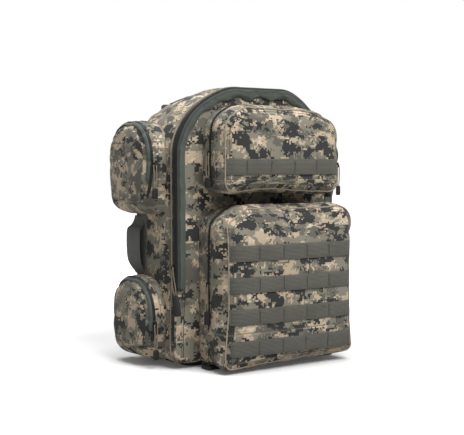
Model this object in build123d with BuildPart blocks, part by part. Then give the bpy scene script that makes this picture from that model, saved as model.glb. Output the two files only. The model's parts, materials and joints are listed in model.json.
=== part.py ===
from build123d import *
from collections import namedtuple
import os

os.makedirs("parts", exist_ok=True)

# Hunting daypack with an arched clamshell front, two front pockets, four side pockets,
# a padded back, shoulder straps, a sternum strap and a folding waist belt.
# Frame: +Z up, the pocket face looks along -Y, the wearer's back is on +Y, left is -X, and the
# origin is on the ground below the middle of the main compartment. All lengths are millimetres.

# ---------------------------------------------------------------- driving dimensions
HALF_W = 165.0        # half-width of the main compartment
TOP = 467.0           # top of the arch
SHELL_Z0 = 8.0        # underside of the main compartment
ARCH_R = 115.0        # top corner radius of the arch
BASE_R = 20.0         # bottom corner radius
ZIP_Y = -71.0         # plane of the main zip
REAR_Y = 70.0         # rear wall, outside
WALL = 4.0            # padded wall of the main compartment
GAP = 0.4             # clearance all round a cover that swings
POCKET_WALL = 2.5     # pocket fabric with its lining and binding

PANEL_BACK_Y = ZIP_Y - 0.2
PANEL_T = 3.8         # padded front panel
PANEL_FACE_Y = PANEL_BACK_Y - PANEL_T
ON_PANEL_Y = PANEL_FACE_Y - 0.05    # rear of what is sewn to the front panel

BACK_Y = REAR_Y + 0.1               # inner face of the back panel
BACK_T = 6.0
BACK_FACE_Y = BACK_Y + BACK_T
SEWN_Y = REAR_Y + 5                 # start of the blocks that are sunk into the back panel

WEB = 25.4            # webbing width, and the gap between ladder rows
WEB_T = 1.4

FAR = 200.0           # reach of a cut that clears the bag sideways
CLEAR = 20.0          # how far a cut runs past the piece it trims

# Front pockets: arch outline, zip plane, face, fold line and slider heights.
FrontPocket = namedtuple("FrontPocket", "half_w z0 z1 r_top r_base zip_y face_y fold_z")
UPPER_FRONT = FrontPocket(half_w=118.0, z0=284.0, z1=431.0, r_top=52.0, r_base=22,
                          zip_y=-100.0, face_y=-139.0, fold_z=310.0)
LOWER_FRONT = FrontPocket(half_w=126.0, z0=11.0, z1=267.0, r_top=52.0, r_base=14,
                          zip_y=-108.0, face_y=-163.0, fold_z=66.6)
UPPER_ROW_Z = 318.6                                   # underside of the single row
LOWER_ROWS_Z = [28.6 + 2 * WEB * i for i in range(4)]  # undersides, bottom row first

# Side pockets: a semicircle on straight legs, seen from the side.
SidePocket = namedtuple("SidePocket", "z0 centre_z fold_z slider_z")
UPPER_SIDE = SidePocket(z0=253.0, centre_z=340.0, fold_z=290.0, slider_z=334.0)
LOWER_SIDE = SidePocket(z0=11.0, centre_z=80.0, fold_z=46.0, slider_z=74.0)
SIDE_Y = 18.0         # middle of the pockets
SIDE_R = 66.0
SIDE_BASE_R = 26.0
SIDE_OUT_X = 203.0    # outer face, distance from the middle of the bag
SIDE_ZIP_X = 197.0    # zip plane, likewise

# Zip hardware; offsets are measured out of the fabric.
CHAIN_T = 1.0
CHAIN_W = 3.4
MAIN_CHAIN_Z0 = 40.0  # lower ends of the main zip
SLIDER_W, SLIDER_L, SLIDER_T = 7.0, 10.0, 2.2
PLATE_OFF = CHAIN_T + 0.4
BRIDGE_W, BRIDGE_L, BRIDGE_H = 1.8, 8.0, 4.6
BRIDGE_SINK = 0.4     # overlap of the bridge with the slider plate
BAR_OFF = 5.4         # the pull's cross bar
BAR_L = 6.4
CORD_R = 0.9
LEG_X = 2.3           # cord legs, either side of the pull's middle
GRIP_T = 5.0


# ---------------------------------------------------------------- shapes
def plane_y(y):
    """Upright plane at y, its local y up. Positive extrusion runs forward, along -Y."""
    return Plane.XZ.offset(-y)


def arch(y_from, y_to, half_w, z0, z1, r_top, r_base, mode=Mode.ADD):
    """Upright slab between two y planes: a rectangle with rounded top and bottom corners."""
    with BuildSketch(plane_y(y_from)) as face:
        with Locations((0, (z0 + z1) / 2)):
            Rectangle(2 * half_w, z1 - z0)
        fillet(face.vertices().group_by(Axis.Y)[-1], r_top)
        fillet(face.vertices().group_by(Axis.Y)[0], r_base)
    extrude(face.sketch, amount=y_from - y_to, mode=mode)


def tomb(x_from, x_to, z0, centre_z, radius, r_base, mode=Mode.ADD):
    """Slab between two x planes with the side pocket outline: a semicircle on straight legs."""
    y0, y1 = SIDE_Y - radius, SIDE_Y + radius
    with BuildSketch(Plane.YZ.offset(x_from)) as face:
        with BuildLine():
            Polyline((y0, centre_z), (y0, z0), (y1, z0), (y1, centre_z))
            ThreePointArc((y1, centre_z), (SIDE_Y, centre_z + radius), (y0, centre_z))
        make_face()
        fillet(face.vertices().group_by(Axis.Y)[0], r_base)
    extrude(face.sketch, amount=x_to - x_from, mode=mode)


def block(x, y, z, mode=Mode.ADD):
    """Axis-aligned block; x, y and z are (low, high) pairs."""
    with BuildSketch(Plane.XY.offset(z[0])) as foot:
        with Locations(((x[0] + x[1]) / 2, (y[0] + y[1]) / 2)):
            Rectangle(x[1] - x[0], y[1] - y[0])
    extrude(foot.sketch, amount=z[1] - z[0], mode=mode)


# ---------------------------------------------------------------- output
def write(piece, label):
    piece.part.label = label
    export_step(piece.part, f"parts/{label}.step")


def write_pair(left_piece, left_label):
    """Write a left-hand piece and its mirror image on the right."""
    write(left_piece, left_label)
    with BuildPart() as right_piece:
        mirror(left_piece.part, about=Plane.YZ)
    write(right_piece, left_label.replace("left", "right"))


# ---------------------------------------------------------------- main compartment
with BuildPart() as main_shell:
    arch(ZIP_Y, REAR_Y, HALF_W, SHELL_Z0, TOP, ARCH_R, BASE_R)
    fillet(main_shell.edges().filter_by_position(Axis.Y, REAR_Y - 0.1, REAR_Y + 0.1), 3)
    arch(ZIP_Y, REAR_Y - WALL, HALF_W - WALL, SHELL_Z0 + WALL, TOP - WALL,
         ARCH_R - WALL, BASE_R - WALL, Mode.SUBTRACT)
    # sewn tabs that carry the ends of the top handle
    for tab_x in ((-95, -83), (83, 95)):
        block(x=tab_x, y=(58, 69), z=(456, 477))
write(main_shell, "main_shell")

# flat sleeve inside the rear wall, open at the top
SLEEVE_Y = 63.2       # rear face
SLEEVE_T = 3.8
SLEEVE_WALL = 1.0     # front and rear walls
SLEEVE_SEAM = 1.5     # side and bottom walls
with BuildPart() as hydration_sleeve:
    arch(SLEEVE_Y, SLEEVE_Y - SLEEVE_T, 105, 60, 380, 2, 30)
    arch(SLEEVE_Y - SLEEVE_WALL, SLEEVE_Y - SLEEVE_T + SLEEVE_WALL,
         105 - SLEEVE_SEAM, 60 + SLEEVE_SEAM, 384, 2, 30 - SLEEVE_SEAM, Mode.SUBTRACT)
write(hydration_sleeve, "hydration_sleeve")

SHEET_Y = REAR_Y - WALL - 0.5
SHEET_T = 1.8
with BuildPart() as frame_sheet:
    arch(SHEET_Y, SHEET_Y - SHEET_T, 140, 30, 410, 60, 20)
write(frame_sheet, "frame_sheet")

# ---------------------------------------------------------------- padded back
BELT_Z = 47.0         # middle height of the waist belt
BACK_INSET = 6.0      # back panel, in from the sides of the shell

with BuildPart() as back_panel:
    arch(BACK_Y, BACK_FACE_Y, HALF_W - BACK_INSET, 14, 455, ARCH_R - BACK_INSET, BASE_R)
    # sewn yoke that carries the shoulder straps
    block(x=(-106, 106), y=(SEWN_Y, 83.5), z=(424, 442))
    # roots of the waist belt
    for root_x in ((-152, -120), (120, 152)):
        block(x=root_x, y=(SEWN_Y, 84.6), z=(BELT_Z - 23, BELT_Z + 23))
write(back_panel, "back_panel")

PAD_X = 32.5          # pad middles, either side of the spine
PAD_W, PAD_H, PAD_T = 45, 316, 8
with BuildPart() as back_pads:
    for pad_x in (-PAD_X, PAD_X):
        with BuildSketch(plane_y(BACK_FACE_Y + 0.1)) as pad:
            with Locations((pad_x, 248)):
                Rectangle(PAD_W, PAD_H)
            fillet(pad.vertices(), 16)
        extrude(amount=-PAD_T)
write(back_pads, "back_pads")

# ---------------------------------------------------------------- front panel and storm flap
with BuildPart() as front_panel:
    arch(PANEL_BACK_Y, PANEL_FACE_Y, HALF_W - GAP, 10, TOP - GAP, ARCH_R - GAP, BASE_R - 2)
write(front_panel, "front_panel")

# zip cover strip: an arched band along the edge of the front panel
FLAP_T = 0.8
FLAP_OUT = 2          # outer edge of the band, in from the shell
FLAP_IN = 17          # inner edge of the band, in from the shell
FLAP_Z0 = 128         # lower ends of the band
with BuildPart() as storm_flap:
    arch(ON_PANEL_Y, ON_PANEL_Y - FLAP_T, HALF_W - FLAP_OUT, 100, TOP - FLAP_OUT,
         ARCH_R - FLAP_OUT, 4)
    arch(ON_PANEL_Y, ON_PANEL_Y - FLAP_T, HALF_W - FLAP_IN, 90, TOP - FLAP_IN - 1,
         ARCH_R - FLAP_IN, 4, Mode.SUBTRACT)
    block(x=(-FAR, FAR), y=(-90, -60), z=(80, FLAP_Z0), mode=Mode.SUBTRACT)
write(storm_flap, "storm_flap")


# ---------------------------------------------------------------- zip chains
# Each chain is a band around an outline, lifted by this much and cut off at its lower ends.
CHAIN_LIFT = 0.02


def arch_chain(y, half_w, top, radius, z_end):
    """Zip chain around an arch, its front edge at y."""
    arch(y, y + CHAIN_W, half_w + CHAIN_T, z_end - 20, top + CHAIN_T, radius + CHAIN_T, 2)
    arch(y, y + CHAIN_W, half_w + CHAIN_LIFT, z_end - 30, top + CHAIN_LIFT,
         radius + CHAIN_LIFT, 2, Mode.SUBTRACT)
    block(x=(-FAR, FAR), y=(y - 1, y + CHAIN_W + 1), z=(z_end - 31, z_end), mode=Mode.SUBTRACT)


def side_chains(pocket):
    """Zip chains of a side pocket and of its opposite number."""
    for side in (-1, 1):
        x_from, x_to = side * SIDE_ZIP_X, side * (SIDE_ZIP_X - CHAIN_W)
        tomb(x_from, x_to, pocket.fold_z - 20, pocket.centre_z, SIDE_R + CHAIN_T, 2)
        tomb(x_from, x_to, pocket.fold_z - 30, pocket.centre_z, SIDE_R + CHAIN_LIFT, 2,
             Mode.SUBTRACT)
    # kept narrow in y so that the main chain is not cut
    block(x=(-SIDE_OUT_X, SIDE_OUT_X), y=(SIDE_Y - SIDE_R - 10, SIDE_Y + SIDE_R + 10),
          z=(pocket.fold_z - 31, pocket.fold_z), mode=Mode.SUBTRACT)


with BuildPart() as bag_zip_chains:
    arch_chain(ZIP_Y, HALF_W, TOP, ARCH_R, MAIN_CHAIN_Z0)
    side_chains(UPPER_SIDE)
    side_chains(LOWER_SIDE)
write(bag_zip_chains, "bag_zip_chains")

with BuildPart() as pocket_zip_chains:
    for pocket in (UPPER_FRONT, LOWER_FRONT):
        arch_chain(pocket.zip_y, pocket.half_w, pocket.z1, pocket.r_top, pocket.fold_z)
write(pocket_zip_chains, "pocket_zip_chains")


# ---------------------------------------------------------------- front pockets
def front_cup(pocket, inset=0.0):
    """Cup open towards the front panel, drawn in by inset at the sides and top."""
    half_w, z1, r_top = pocket.half_w - inset, pocket.z1 - inset, pocket.r_top - inset
    arch(ON_PANEL_Y, pocket.face_y, half_w, pocket.z0, z1, r_top, pocket.r_base)
    arch(ON_PANEL_Y, pocket.face_y + POCKET_WALL, half_w - POCKET_WALL,
         pocket.z0 + POCKET_WALL, z1 - POCKET_WALL, r_top - POCKET_WALL,
         pocket.r_base - POCKET_WALL, Mode.SUBTRACT)


def front_body(pocket):
    """Fixed part: all of the cup but the front above the fold."""
    with BuildPart() as body:
        front_cup(pocket)
        block(x=(-FAR, FAR), y=(pocket.face_y - CLEAR, pocket.zip_y),
              z=(pocket.fold_z, pocket.z1 + CLEAR), mode=Mode.SUBTRACT)
    return body


def front_cover(pocket):
    """Swinging part: the front of the cup above the fold, in front of the zip."""
    with BuildPart() as cover:
        front_cup(pocket, inset=GAP)
        block(x=(-FAR, FAR), y=(pocket.zip_y - GAP, 0),
              z=(pocket.z0 - CLEAR, pocket.z1 + CLEAR), mode=Mode.SUBTRACT)
        block(x=(-FAR, FAR), y=(pocket.face_y - CLEAR, 0),
              z=(pocket.z0 - CLEAR, pocket.fold_z + GAP), mode=Mode.SUBTRACT)
    return cover


def front_webbing(pocket, rows_z):
    """Rows of ladder webbing across the pocket face."""
    half_length = pocket.half_w - 1
    rear_y = pocket.face_y - 0.02
    with BuildPart() as webbing:
        for row_z in rows_z:
            block(x=(-half_length, half_length), y=(rear_y - WEB_T, rear_y),
                  z=(row_z, row_z + WEB))
    return webbing


for level, pocket in (("upper", UPPER_FRONT), ("lower", LOWER_FRONT)):
    write(front_body(pocket), f"{level}_pocket_body")
    write(front_cover(pocket), f"{level}_pocket_cover")

write(front_webbing(UPPER_FRONT, [UPPER_ROW_Z]), "upper_pocket_webbing")
write(front_webbing(LOWER_FRONT, LOWER_ROWS_Z[:1]), "lower_webbing_bottom_row")
write(front_webbing(LOWER_FRONT, LOWER_ROWS_Z[1:]), "lower_webbing_upper_rows")


# ---------------------------------------------------------------- side pockets and flaps
def left_pocket(pocket):
    """Cup open towards the main compartment, without its outer face above the fold."""
    mouth_x = -HALF_W - 0.1
    with BuildPart() as cup:
        tomb(mouth_x, -SIDE_OUT_X, pocket.z0, pocket.centre_z, SIDE_R, SIDE_BASE_R)
        tomb(mouth_x, -SIDE_OUT_X + POCKET_WALL, pocket.z0 + POCKET_WALL, pocket.centre_z,
             SIDE_R - POCKET_WALL, SIDE_BASE_R - POCKET_WALL, Mode.SUBTRACT)
        block(x=(-SIDE_OUT_X - CLEAR, -SIDE_ZIP_X), y=(-FAR, FAR),
              z=(pocket.fold_z, pocket.centre_z + SIDE_R + CLEAR), mode=Mode.SUBTRACT)
    return cup


def left_flap(pocket):
    """Outer face above the fold, with a rim that reaches back to the zip."""
    rim_x = -SIDE_ZIP_X - GAP
    radius = SIDE_R - GAP
    with BuildPart() as flap:
        tomb(rim_x, -SIDE_OUT_X, pocket.z0, pocket.centre_z, radius, SIDE_BASE_R)
        tomb(rim_x, -SIDE_OUT_X + POCKET_WALL, pocket.z0, pocket.centre_z,
             radius - POCKET_WALL, SIDE_BASE_R - POCKET_WALL, Mode.SUBTRACT)
        block(x=(-SIDE_OUT_X - CLEAR, 0), y=(-FAR, FAR), z=(0, pocket.fold_z + GAP),
              mode=Mode.SUBTRACT)
    return flap


for level, pocket in (("upper", UPPER_SIDE), ("lower", LOWER_SIDE)):
    write_pair(left_pocket(pocket), f"{level}_left_pocket")
    write_pair(left_flap(pocket), f"{level}_left_flap")


# ---------------------------------------------------------------- zip sliders and pulls
# A zip frame has x across the chain, y down along it and z out of the fabric.
def front_zip_frame(half_w, y, z, side=-1):
    """Frame on the left (-1) or right (1) wall of the bag or of a front pocket."""
    return Plane(origin=(side * half_w, y, z), x_dir=(0, -side, 0), z_dir=(side, 0, 0))


def side_zip_frame(pocket):
    """Frame on the front edge of a left-hand side pocket."""
    return Plane(origin=(-SIDE_ZIP_X + 1, SIDE_Y - SIDE_R, pocket.slider_z),
                 x_dir=(-1, 0, 0), z_dir=(0, -1, 0))


def zip_slider(frame):
    """Top plate and a bridge that the pull's bar passes under."""
    side = Plane(origin=frame.origin - frame.x_dir * BRIDGE_W / 2,
                 x_dir=frame.y_dir, z_dir=frame.x_dir)
    with BuildPart() as slider:
        with BuildSketch(frame.offset(PLATE_OFF)) as plate:
            Rectangle(SLIDER_W, SLIDER_L)
            fillet(plate.vertices(), 1.6)
        extrude(plate.sketch, amount=SLIDER_T)
        with BuildSketch(side) as bridge:
            with Locations((0, PLATE_OFF + SLIDER_T - BRIDGE_SINK + BRIDGE_H / 2)):
                Rectangle(BRIDGE_L, BRIDGE_H)
            with Locations((0, BAR_OFF)):
                Rectangle(4.4, 2.6, mode=Mode.SUBTRACT)
        extrude(bridge.sketch, amount=BRIDGE_W)
    return slider


def zip_pull(frame, cord_length, grip_length, grip_w):
    """Cross bar under the bridge, two cord legs and a moulded grip hanging down."""
    bar_origin = frame.origin + frame.z_dir * BAR_OFF
    bar_end = Plane(origin=bar_origin - frame.x_dir * BAR_L / 2,
                    x_dir=frame.y_dir, z_dir=frame.x_dir)
    hang = Plane(origin=bar_origin, x_dir=frame.x_dir, z_dir=frame.y_dir)
    with BuildPart() as pull:
        with BuildSketch(bar_end) as bar:
            Circle(CORD_R)
        extrude(bar.sketch, amount=BAR_L)
        with BuildSketch(hang) as cords:
            with Locations((-LEG_X, 0), (LEG_X, 0)):
                Circle(CORD_R - 0.12)
        # the legs run on into the grip
        extrude(cords.sketch, amount=cord_length + 2)
        with BuildSketch(hang.offset(cord_length)) as grip:
            Rectangle(grip_w, GRIP_T)
            fillet(grip.vertices(), 1.8)
        extrude(grip.sketch, amount=grip_length)
    return pull


# name, frame, cord length, grip length, grip width
MIRRORED_ZIPS = (
    ("main", front_zip_frame(HALF_W, ZIP_Y + 1, 168.0), 46, 34, 13.0),
    ("lower", front_zip_frame(LOWER_FRONT.half_w, LOWER_FRONT.zip_y + 0.5, 140.0), 44, 22, 11.0),
    ("upper_side", side_zip_frame(UPPER_SIDE), 39, 17, 11.0),
    ("lower_side", side_zip_frame(LOWER_SIDE), 43, 16, 11.0),
)
for name, frame, cord_length, grip_length, grip_w in MIRRORED_ZIPS:
    write_pair(zip_slider(frame), f"{name}_slider_left")
    write_pair(zip_pull(frame, cord_length, grip_length, grip_w), f"{name}_pull_left")

# the two sliders of the upper front pocket stand at different heights
for name, side, slider_z in (("left", -1, 353.0), ("right", 1, 334.0)):
    frame = front_zip_frame(UPPER_FRONT.half_w, UPPER_FRONT.zip_y + 0.5, slider_z, side)
    write(zip_slider(frame), f"upper_slider_{name}")
    write(zip_pull(frame, cord_length=41, grip_length=16, grip_w=11.0), f"upper_pull_{name}")

# ---------------------------------------------------------------- handles
HANDLE_X = 82         # half-length of the top handle
with BuildPart() as top_handle:
    with BuildSketch(plane_y(64)):
        with BuildLine():
            ThreePointArc((-HANDLE_X, 469), (0, 474.5), (HANDLE_X, 469))
            Line((HANDLE_X, 469), (HANDLE_X, 473))
            ThreePointArc((HANDLE_X, 473), (0, 479), (-HANDLE_X, 473))
            Line((-HANDLE_X, 473), (-HANDLE_X, 469))
        make_face()
    extrude(amount=8, both=True)
write(top_handle, "top_handle")


def side_handle_layer(points, outer_r, mode=Mode.ADD):
    """Closed (x, z) outline, rounded at its outer corners, across the handle's width."""
    with BuildSketch(plane_y(45.5)) as face:
        with BuildLine():
            Polyline(*points)
        make_face()
        fillet(face.vertices().group_by(Axis.X)[0], outer_r)
    extrude(face.sketch, amount=23.5, both=True, mode=mode)


# closed loop: a strip sewn flat on the wall and a grip that stands off it
with BuildPart() as side_handle_left:
    side_handle_layer([(-165.1, 148), (-184.6, 172), (-184.6, 232), (-165.1, 250),
                       (-165.1, 148)], 9)
    side_handle_layer([(-166.6, 156), (-181.8, 174), (-181.8, 230), (-166.6, 243),
                       (-166.6, 156)], 6, Mode.SUBTRACT)
write_pair(side_handle_left, "side_handle_left")

# ---------------------------------------------------------------- shoulder straps
STRAP_X = 72.0        # middle of a strap
STRAP_W = 58.0

with BuildPart() as shoulder_strap_left:
    with BuildSketch(Plane.YZ.offset(-STRAP_X - STRAP_W / 2)):
        with BuildLine():
            ThreePointArc((85.5, 425), (110, 300), (92, 168))
            Line((92, 168), (100, 162))
            ThreePointArc((100, 162), (122, 300), (90, 436))
            Line((90, 436), (85.5, 425))
        make_face()
    extrude(amount=STRAP_W)
write_pair(shoulder_strap_left, "shoulder_strap_left")

with BuildPart() as ladder_lock_left:
    with BuildSketch(plane_y(92)) as lock:
        with Locations((-STRAP_X, 145)):
            Rectangle(34, 26)
        fillet(lock.vertices(), 4)
        with Locations((-STRAP_X, 152), (-STRAP_X, 139)):
            Rectangle(26, 4.2, mode=Mode.SUBTRACT)
    extrude(amount=-5)
write_pair(ladder_lock_left, "ladder_lock_left")

# webbing tails of both straps, from the foot of the back panel up to the ladder locks
with BuildPart() as shoulder_webbing:
    with BuildSketch(Plane.YZ.offset(-STRAP_X - WEB / 2)):
        with BuildLine():
            Polyline((76.3, 84), (76.3, 78), (78.2, 78), (78.2, 84), (93.6, 130),
                     (92.0, 130.6), (76.3, 84))
        make_face()
    tail = extrude(amount=WEB)
    mirror(tail, about=Plane.YZ)
write(shoulder_webbing, "shoulder_webbing")

# ---------------------------------------------------------------- sternum strap
STERNUM_Z = 332.0
STERNUM_WEB = {"y": (124.4, 126.0), "z": (STERNUM_Z - 10, STERNUM_Z + 10)}
STERNUM_BUCKLE_Y, STERNUM_BUCKLE_T = 122.6, 5.2

# female half of the buckle
with BuildPart() as sternum_strap_left:
    block(x=(-104, -38), **STERNUM_WEB)
    with BuildSketch(plane_y(STERNUM_BUCKLE_Y)) as half:
        with Locations((-22, STERNUM_Z)):
            Rectangle(34, 22)
        fillet(half.vertices(), 4)
        with Locations((-34, STERNUM_Z)):
            Rectangle(3, 15, mode=Mode.SUBTRACT)
    extrude(amount=-STERNUM_BUCKLE_T)
write(sternum_strap_left, "sternum_strap_left")

# male half, with three prongs
with BuildPart() as sternum_strap_right:
    block(x=(38, 104), **STERNUM_WEB)
    with BuildSketch(plane_y(STERNUM_BUCKLE_Y)) as half:
        with Locations((29, STERNUM_Z)):
            Rectangle(20, 22)
        fillet(half.vertices(), 4)
        with Locations((14, STERNUM_Z + 7), (14, STERNUM_Z - 7), (14, STERNUM_Z)):
            Rectangle(18, 4)
        with Locations((34, STERNUM_Z)):
            Rectangle(3, 15, mode=Mode.SUBTRACT)
    extrude(amount=-STERNUM_BUCKLE_T)
write(sternum_strap_right, "sternum_strap_right")

# ---------------------------------------------------------------- waist belt, folded flat
BELT_BUCKLE_Y, BELT_BUCKLE_T = 86.8, 6

with BuildPart() as belt_wing_left:
    with BuildSketch(plane_y(85)):
        with BuildLine():
            Polyline((-148, BELT_Z - 22), (-148, BELT_Z + 22), (-60, BELT_Z + 19),
                     (-44, BELT_Z + 9), (-44, BELT_Z - 9), (-60, BELT_Z - 19),
                     (-148, BELT_Z - 22))
        make_face()
    extrude(amount=-9)
    # webbing that leads to the buckle
    block(x=(-45, -36), y=(88.8, 90.4), z=(BELT_Z - 9, BELT_Z + 9))
write_pair(belt_wing_left, "belt_wing_left")

with BuildPart() as belt_buckle_female:
    with BuildSketch(plane_y(BELT_BUCKLE_Y)) as body:
        with Locations((-19.5, BELT_Z)):
            Rectangle(32, 26)
        fillet(body.vertices(), 5)
        with Locations((-15, BELT_Z + 12), (-15, BELT_Z - 12)):
            Rectangle(12, 5, mode=Mode.SUBTRACT)
    extrude(amount=-BELT_BUCKLE_T)
write(belt_buckle_female, "belt_buckle_female")

with BuildPart() as belt_buckle_male:
    with BuildSketch(plane_y(BELT_BUCKLE_Y)) as body:
        with Locations((28.5, BELT_Z)):
            Rectangle(14, 26)
        fillet(body.vertices(), 4)
        with Locations((14, BELT_Z + 9), (14, BELT_Z - 9), (14, BELT_Z)):
            Rectangle(19, 4)
    extrude(amount=-BELT_BUCKLE_T)
write(belt_buckle_male, "belt_buckle_male")

# ---------------------------------------------------------------- base panel and lash loops
with BuildPart() as base_panel:
    with BuildSketch(Plane.XY) as base_outline:
        with Locations((0, 2)):
            Rectangle(280, 128)
        fillet(base_outline.vertices(), 18)
    extrude(amount=SHELL_Z0 - 0.4)
    fillet(base_panel.edges().group_by(Axis.Z)[0], 2.5)
write(base_panel, "base_panel")

# webbing tongues with slotted loops, below the front panel
LASH_X = 112          # middle of a loop
LASH_Y = -98
with BuildPart() as base_lash_loops:
    for x in (-LASH_X, LASH_X):
        block(x=(x - WEB / 2, x + WEB / 2), y=(-104, -78.5), z=(6.4, 8.4))
        with BuildSketch(Plane.XY.offset(1.4)) as loop:
            with Locations((x, LASH_Y)):
                Rectangle(36, 26)
            fillet(loop.vertices(), 5)
            with Locations((x, LASH_Y - 6), (x, LASH_Y + 6)):
                Rectangle(27, 5, mode=Mode.SUBTRACT)
        extrude(amount=5.2)
write(base_lash_loops, "base_lash_loops")
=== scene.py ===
import json
import math

import bpy
import numpy as np
from mathutils import Matrix, Vector, noise
from mathutils.bvhtree import BVHTree

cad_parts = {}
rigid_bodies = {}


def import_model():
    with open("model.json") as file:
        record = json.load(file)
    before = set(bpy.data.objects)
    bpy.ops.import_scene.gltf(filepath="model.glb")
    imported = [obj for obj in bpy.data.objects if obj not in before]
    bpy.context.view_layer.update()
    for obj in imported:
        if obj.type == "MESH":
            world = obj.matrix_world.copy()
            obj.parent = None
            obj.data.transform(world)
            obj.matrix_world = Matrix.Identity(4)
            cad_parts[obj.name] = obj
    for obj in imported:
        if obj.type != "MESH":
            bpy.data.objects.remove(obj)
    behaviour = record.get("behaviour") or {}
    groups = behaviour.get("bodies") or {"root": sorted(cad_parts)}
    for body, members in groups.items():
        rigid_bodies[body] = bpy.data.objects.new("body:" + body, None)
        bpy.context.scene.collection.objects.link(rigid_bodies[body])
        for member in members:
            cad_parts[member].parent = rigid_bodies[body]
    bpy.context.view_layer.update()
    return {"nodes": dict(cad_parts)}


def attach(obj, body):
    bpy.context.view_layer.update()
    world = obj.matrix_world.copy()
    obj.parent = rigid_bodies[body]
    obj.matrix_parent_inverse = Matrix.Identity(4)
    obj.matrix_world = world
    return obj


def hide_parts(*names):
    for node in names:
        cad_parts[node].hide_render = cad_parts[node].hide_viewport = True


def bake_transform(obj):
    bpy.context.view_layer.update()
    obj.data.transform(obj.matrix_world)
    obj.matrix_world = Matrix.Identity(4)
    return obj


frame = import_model()


CAD_MESHES = set(bpy.context.scene.objects)
MM = 0.001
PI = math.pi
sin, cos = math.sin, math.cos
SC = bpy.context.scene


# ------------------------------------------------------------------ materials
def new_mat(name):
    m = bpy.data.materials.new(name)
    m.use_nodes = True
    nt = m.node_tree
    nt.nodes.clear()
    out = nt.nodes.new("ShaderNodeOutputMaterial")
    bs = nt.nodes.new("ShaderNodeBsdfPrincipled")
    nt.links.new(bs.outputs[0], out.inputs[0])
    return m, nt, bs


def N(nt, kind, **kw):
    n = nt.nodes.new(kind)
    for k, v in kw.items():
        setattr(n, k, v)
    return n


def L(nt, a, b):
    nt.links.new(a, b)


def srgb(r, g, b):
    def f(c):
        c /= 255
        return c / 12.92 if c <= 0.04045 else ((c + 0.055) / 1.055) ** 2.4
    return (f(r), f(g), f(b), 1)


def vmath(nt, op, a, b=None):
    n = N(nt, "ShaderNodeVectorMath", operation=op)
    if isinstance(a, tuple):
        n.inputs[0].default_value = a
    else:
        L(nt, a, n.inputs[0])
    if b is not None:
        if isinstance(b, tuple):
            n.inputs[1].default_value = b
        else:
            L(nt, b, n.inputs[1])
    return n.outputs[0]


def smath(nt, op, a, b=None, c=None):
    n = N(nt, "ShaderNodeMath", operation=op)
    for i, x in enumerate((a, b, c)):
        if x is None:
            continue
        if isinstance(x, (int, float)):
            n.inputs[i].default_value = x
        else:
            L(nt, x, n.inputs[i])
    return n.outputs[0]


def noise_tex(nt, vec, scale, detail=2.0, rough=0.5):
    n = N(nt, "ShaderNodeTexNoise")
    n.inputs["Scale"].default_value = scale
    n.inputs["Detail"].default_value = detail
    n.inputs["Roughness"].default_value = rough
    L(nt, vec, n.inputs["Vector"])
    return n.outputs[0]


def mixcol(nt, fac, a, b, blend="MIX"):
    n = N(nt, "ShaderNodeMix", data_type="RGBA", blend_type=blend)
    if isinstance(fac, (int, float)):
        n.inputs[0].default_value = fac
    else:
        L(nt, fac, n.inputs[0])
    for i, x in ((6, a), (7, b)):
        if isinstance(x, tuple):
            n.inputs[i].default_value = x
        else:
            L(nt, x, n.inputs[i])
    return n.outputs[2]


def weave_height(nt, uv, pitch, skew=0.0):
    """Plain weave: product of two sine waves, in metres."""
    s = N(nt, "ShaderNodeSeparateXYZ")
    L(nt, uv, s.inputs[0])
    a = smath(nt, "SINE", smath(nt, "MULTIPLY", s.outputs[0], 2 * PI / pitch))
    b = smath(nt, "SINE", smath(nt, "MULTIPLY", s.outputs[1], 2 * PI / pitch))
    return smath(nt, "MULTIPLY_ADD", a, 0.5, smath(nt, "MULTIPLY", smath(nt, "MULTIPLY", a, b), 0.5))


def bump(nt, bs, height, dist, strength=0.5, normal=None):
    b = N(nt, "ShaderNodeBump")
    b.inputs["Strength"].default_value = strength
    b.inputs["Distance"].default_value = dist
    L(nt, height, b.inputs["Height"])
    if normal is not None:
        L(nt, normal, b.inputs["Normal"])
    L(nt, b.outputs[0], bs.inputs["Normal"])
    return b.outputs[0]


def coords(nt):
    return N(nt, "ShaderNodeTexCoord").outputs["Object"]


def uvmap(nt):
    n = N(nt, "ShaderNodeUVMap")
    n.uv_map = "fabric"
    return n.outputs[0]


CAMO = ((143, 138, 122), (204, 184, 157), (109, 106, 97), (55, 56, 55), (222, 208, 186))


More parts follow.
